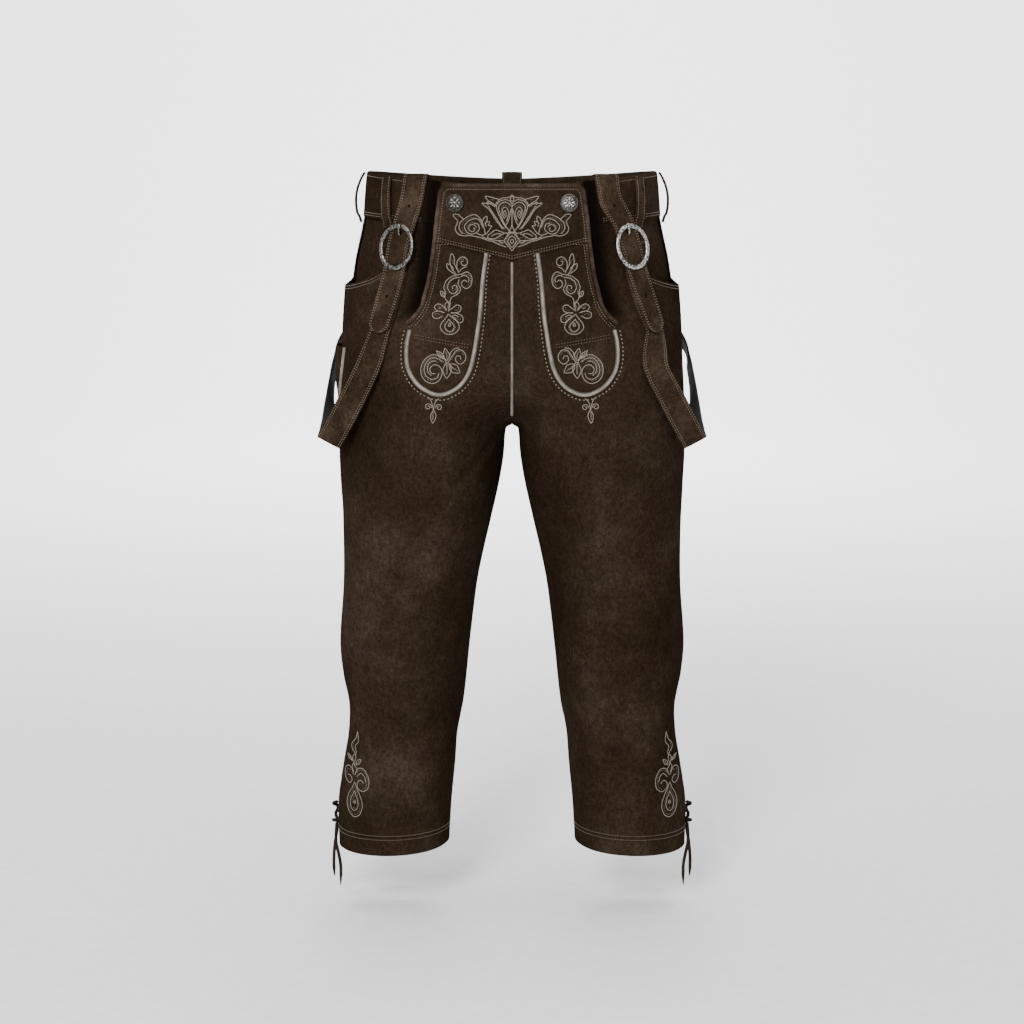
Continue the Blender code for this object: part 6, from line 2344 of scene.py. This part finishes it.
            parts.append(self.ball(radius * 0.058, place, (1.0, 1.0, 0.8)))
        for k in range(self.petals):
            turn = 2.0 * math.pi * k / self.petals
            place = (math.cos(turn) * radius * 0.44, math.sin(turn) * radius * 0.44, height * 0.86)
            parts.append(self.ball(radius * 0.21, place, (1.25, 0.62, 0.42), turn))
        for k in range(self.petals):
            turn = 2.0 * math.pi * (k + 0.5) / self.petals
            place = (math.cos(turn) * radius * 0.66, math.sin(turn) * radius * 0.66, height * 0.72)
            parts.append(self.ball(radius * 0.1, place, (1.0, 1.0, 0.7), turn))
        parts.append(self.ball(radius * 0.17, (0.0, 0.0, height * 0.92), (1.0, 1.0, 0.6)))
        matrix = Vector(out).to_track_quat("Z", "Y").to_matrix().to_4x4()
        matrix.translation = Vector(at)
        piece = self.joined(parts, name, matrix, height * 0.48)
        self.shop.place(piece, finish, "antique_silver", [node])

    def build(self) -> None:
        """Make all the metal."""
        for hand in Hand:
            self.buckle(hand)
            self.prong(hand)
            at, out = self.shop.form.on_flap(0.0615 * hand.value, -0.01, GAP)
            # The right hand's silver is the brighter copy with painted highlight
            finish = SILVER if hand is Hand.LEFT else SILVER_PAINTED_HIGHLIGHT
            self.button(f"front_button_{hand.label}", f"button_{hand.label}", at, out, 0.01, 0.0034, finish)
            centres, _, outs, _ = self.straps.runs[f"brace_{hand.label}"]
            place = round(0.9412 * (len(centres) - 1))
            way = outs[place] * math.copysign(1.0, outs[place][1])
            seat = centres[place] + way * (self.straps.wall / 2.0 + GAP * 2.0)
            self.button(
                f"back_button_{hand.label}", f"strap_button_{hand.label}", seat, way, 0.0075, 0.0028, SILVER)


@dataclass
class Studio:
    """The camera, the pale floor and the soft lights."""

    aim: Triple = (0.0, 0.0, -0.3683)
    pitch: float = math.radians(8.5)
    distance: float = 2.9
    focal: float = 87.9
    sensor: float = 36.0
    floor_level: float = -0.8325
    flat_radius: float = 5.0
    wall: float = 3.0
    around: int = 64
    sky: float = 0.52
    backdrop: Triple = (0.0, 6.5, -0.6)

    def camera(self) -> None:
        """Stand the camera in front, a little above the middle."""
        lens = bpy.data.cameras.new("product_camera")
        lens.lens = self.focal
        lens.sensor_width = self.sensor
        lens.clip_end = 30.0
        camera = bpy.data.objects.new("product_camera", lens)
        back = Vector((0.0, -math.cos(self.pitch), math.sin(self.pitch)))
        camera.location = Vector(self.aim) + back * self.distance
        camera.rotation_euler = (math.pi / 2 - self.pitch, 0.0, 0.0)
        bpy.context.scene.collection.objects.link(camera)
        bpy.context.scene.camera = camera

    def floor(self) -> None:
        """Lay the bowl-shaped floor, flat below the garment and rising far away."""
        profile = [(0.02, 0.0), (2.0, 0.0), (4.0, 0.0)]
        for turn in np.linspace(0.0, math.pi / 2, 14):
            profile.append((self.flat_radius + math.sin(turn) * self.wall, self.wall - math.cos(turn) * self.wall))
        points = np.array([[r * math.cos(a), r * math.sin(a), z + self.floor_level]
                           for r, z in profile for a in circle(self.around)])
        index = np.arange(len(points)).reshape(len(profile), self.around)
        after = np.roll(index, -1, axis=1)
        faces = np.stack([index[:-1], index[1:], after[1:], after[:-1]], axis=-1).reshape(-1, 4).tolist()
        floor = new_mesh_object("studio_floor", points, faces + [index[0].tolist()])
        floor.data.materials.append(PlainFinish("pale_floor", (0.94, 0.94, 0.94), 0.95).build())

    def light(self) -> None:
        """Set up the even sky and the four square lamps."""
        world = bpy.data.worlds.new("studio_world")
        bpy.context.scene.world = world
        world.use_nodes = True
        sky = world.node_tree.nodes["Background"]
        sky.inputs["Color"].default_value = (1.0, 1.0, 1.0, 1.0)
        sky.inputs["Strength"].default_value = self.sky
        # Columns: name, place, size in metres, power in watts, what it is turned to
        lamps = (
            ("key", (-1.0, -3.6, 1.5), 1.2, 225.0, self.aim),
            ("fill", (1.7, -3.2, 0.5), 1.6, 26.0, self.aim),
            ("top", (0.0, 0.2, 2.6), 2.2, 60.0, self.aim),
            ("backdrop", (0.0, 3.8, 3.0), 2.4, 640.0, self.backdrop),
        )
        for name, place, size, power, aim in lamps:
            lamp = bpy.data.lights.new("studio_" + name, "AREA")
            lamp.size = size
            lamp.energy = power
            light = bpy.data.objects.new("studio_" + name, lamp)
            light.location = place
            light.rotation_euler = (Vector(aim) - light.location).to_track_quat("-Z", "Y").to_euler()
            bpy.context.scene.collection.objects.link(light)

    def build(self) -> None:
        """Set up the whole studio."""
        self.camera()
        self.floor()
        self.light()


def main() -> None:
    """Build the whole visual model in order."""
    logging.basicConfig(level=logging.INFO, format="%(message)s")
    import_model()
    Studio().build()
    shop = Workshop()
    lacing = KneeLacing(shop)
    lacing.free_ends()
    lacing.lacing()
    panels = LegPanels(shop)
    panels.build()
    front = DropFront(shop)
    front.build()
    straps = Strapping(shop)
    straps.build()
    KnifePocket(shop).build()
    Metalwork(shop, straps).build()
    Embroidery(shop).build()
    SeamStitching(shop, front, straps).build(panels)


if __name__ == "__main__":
    main()
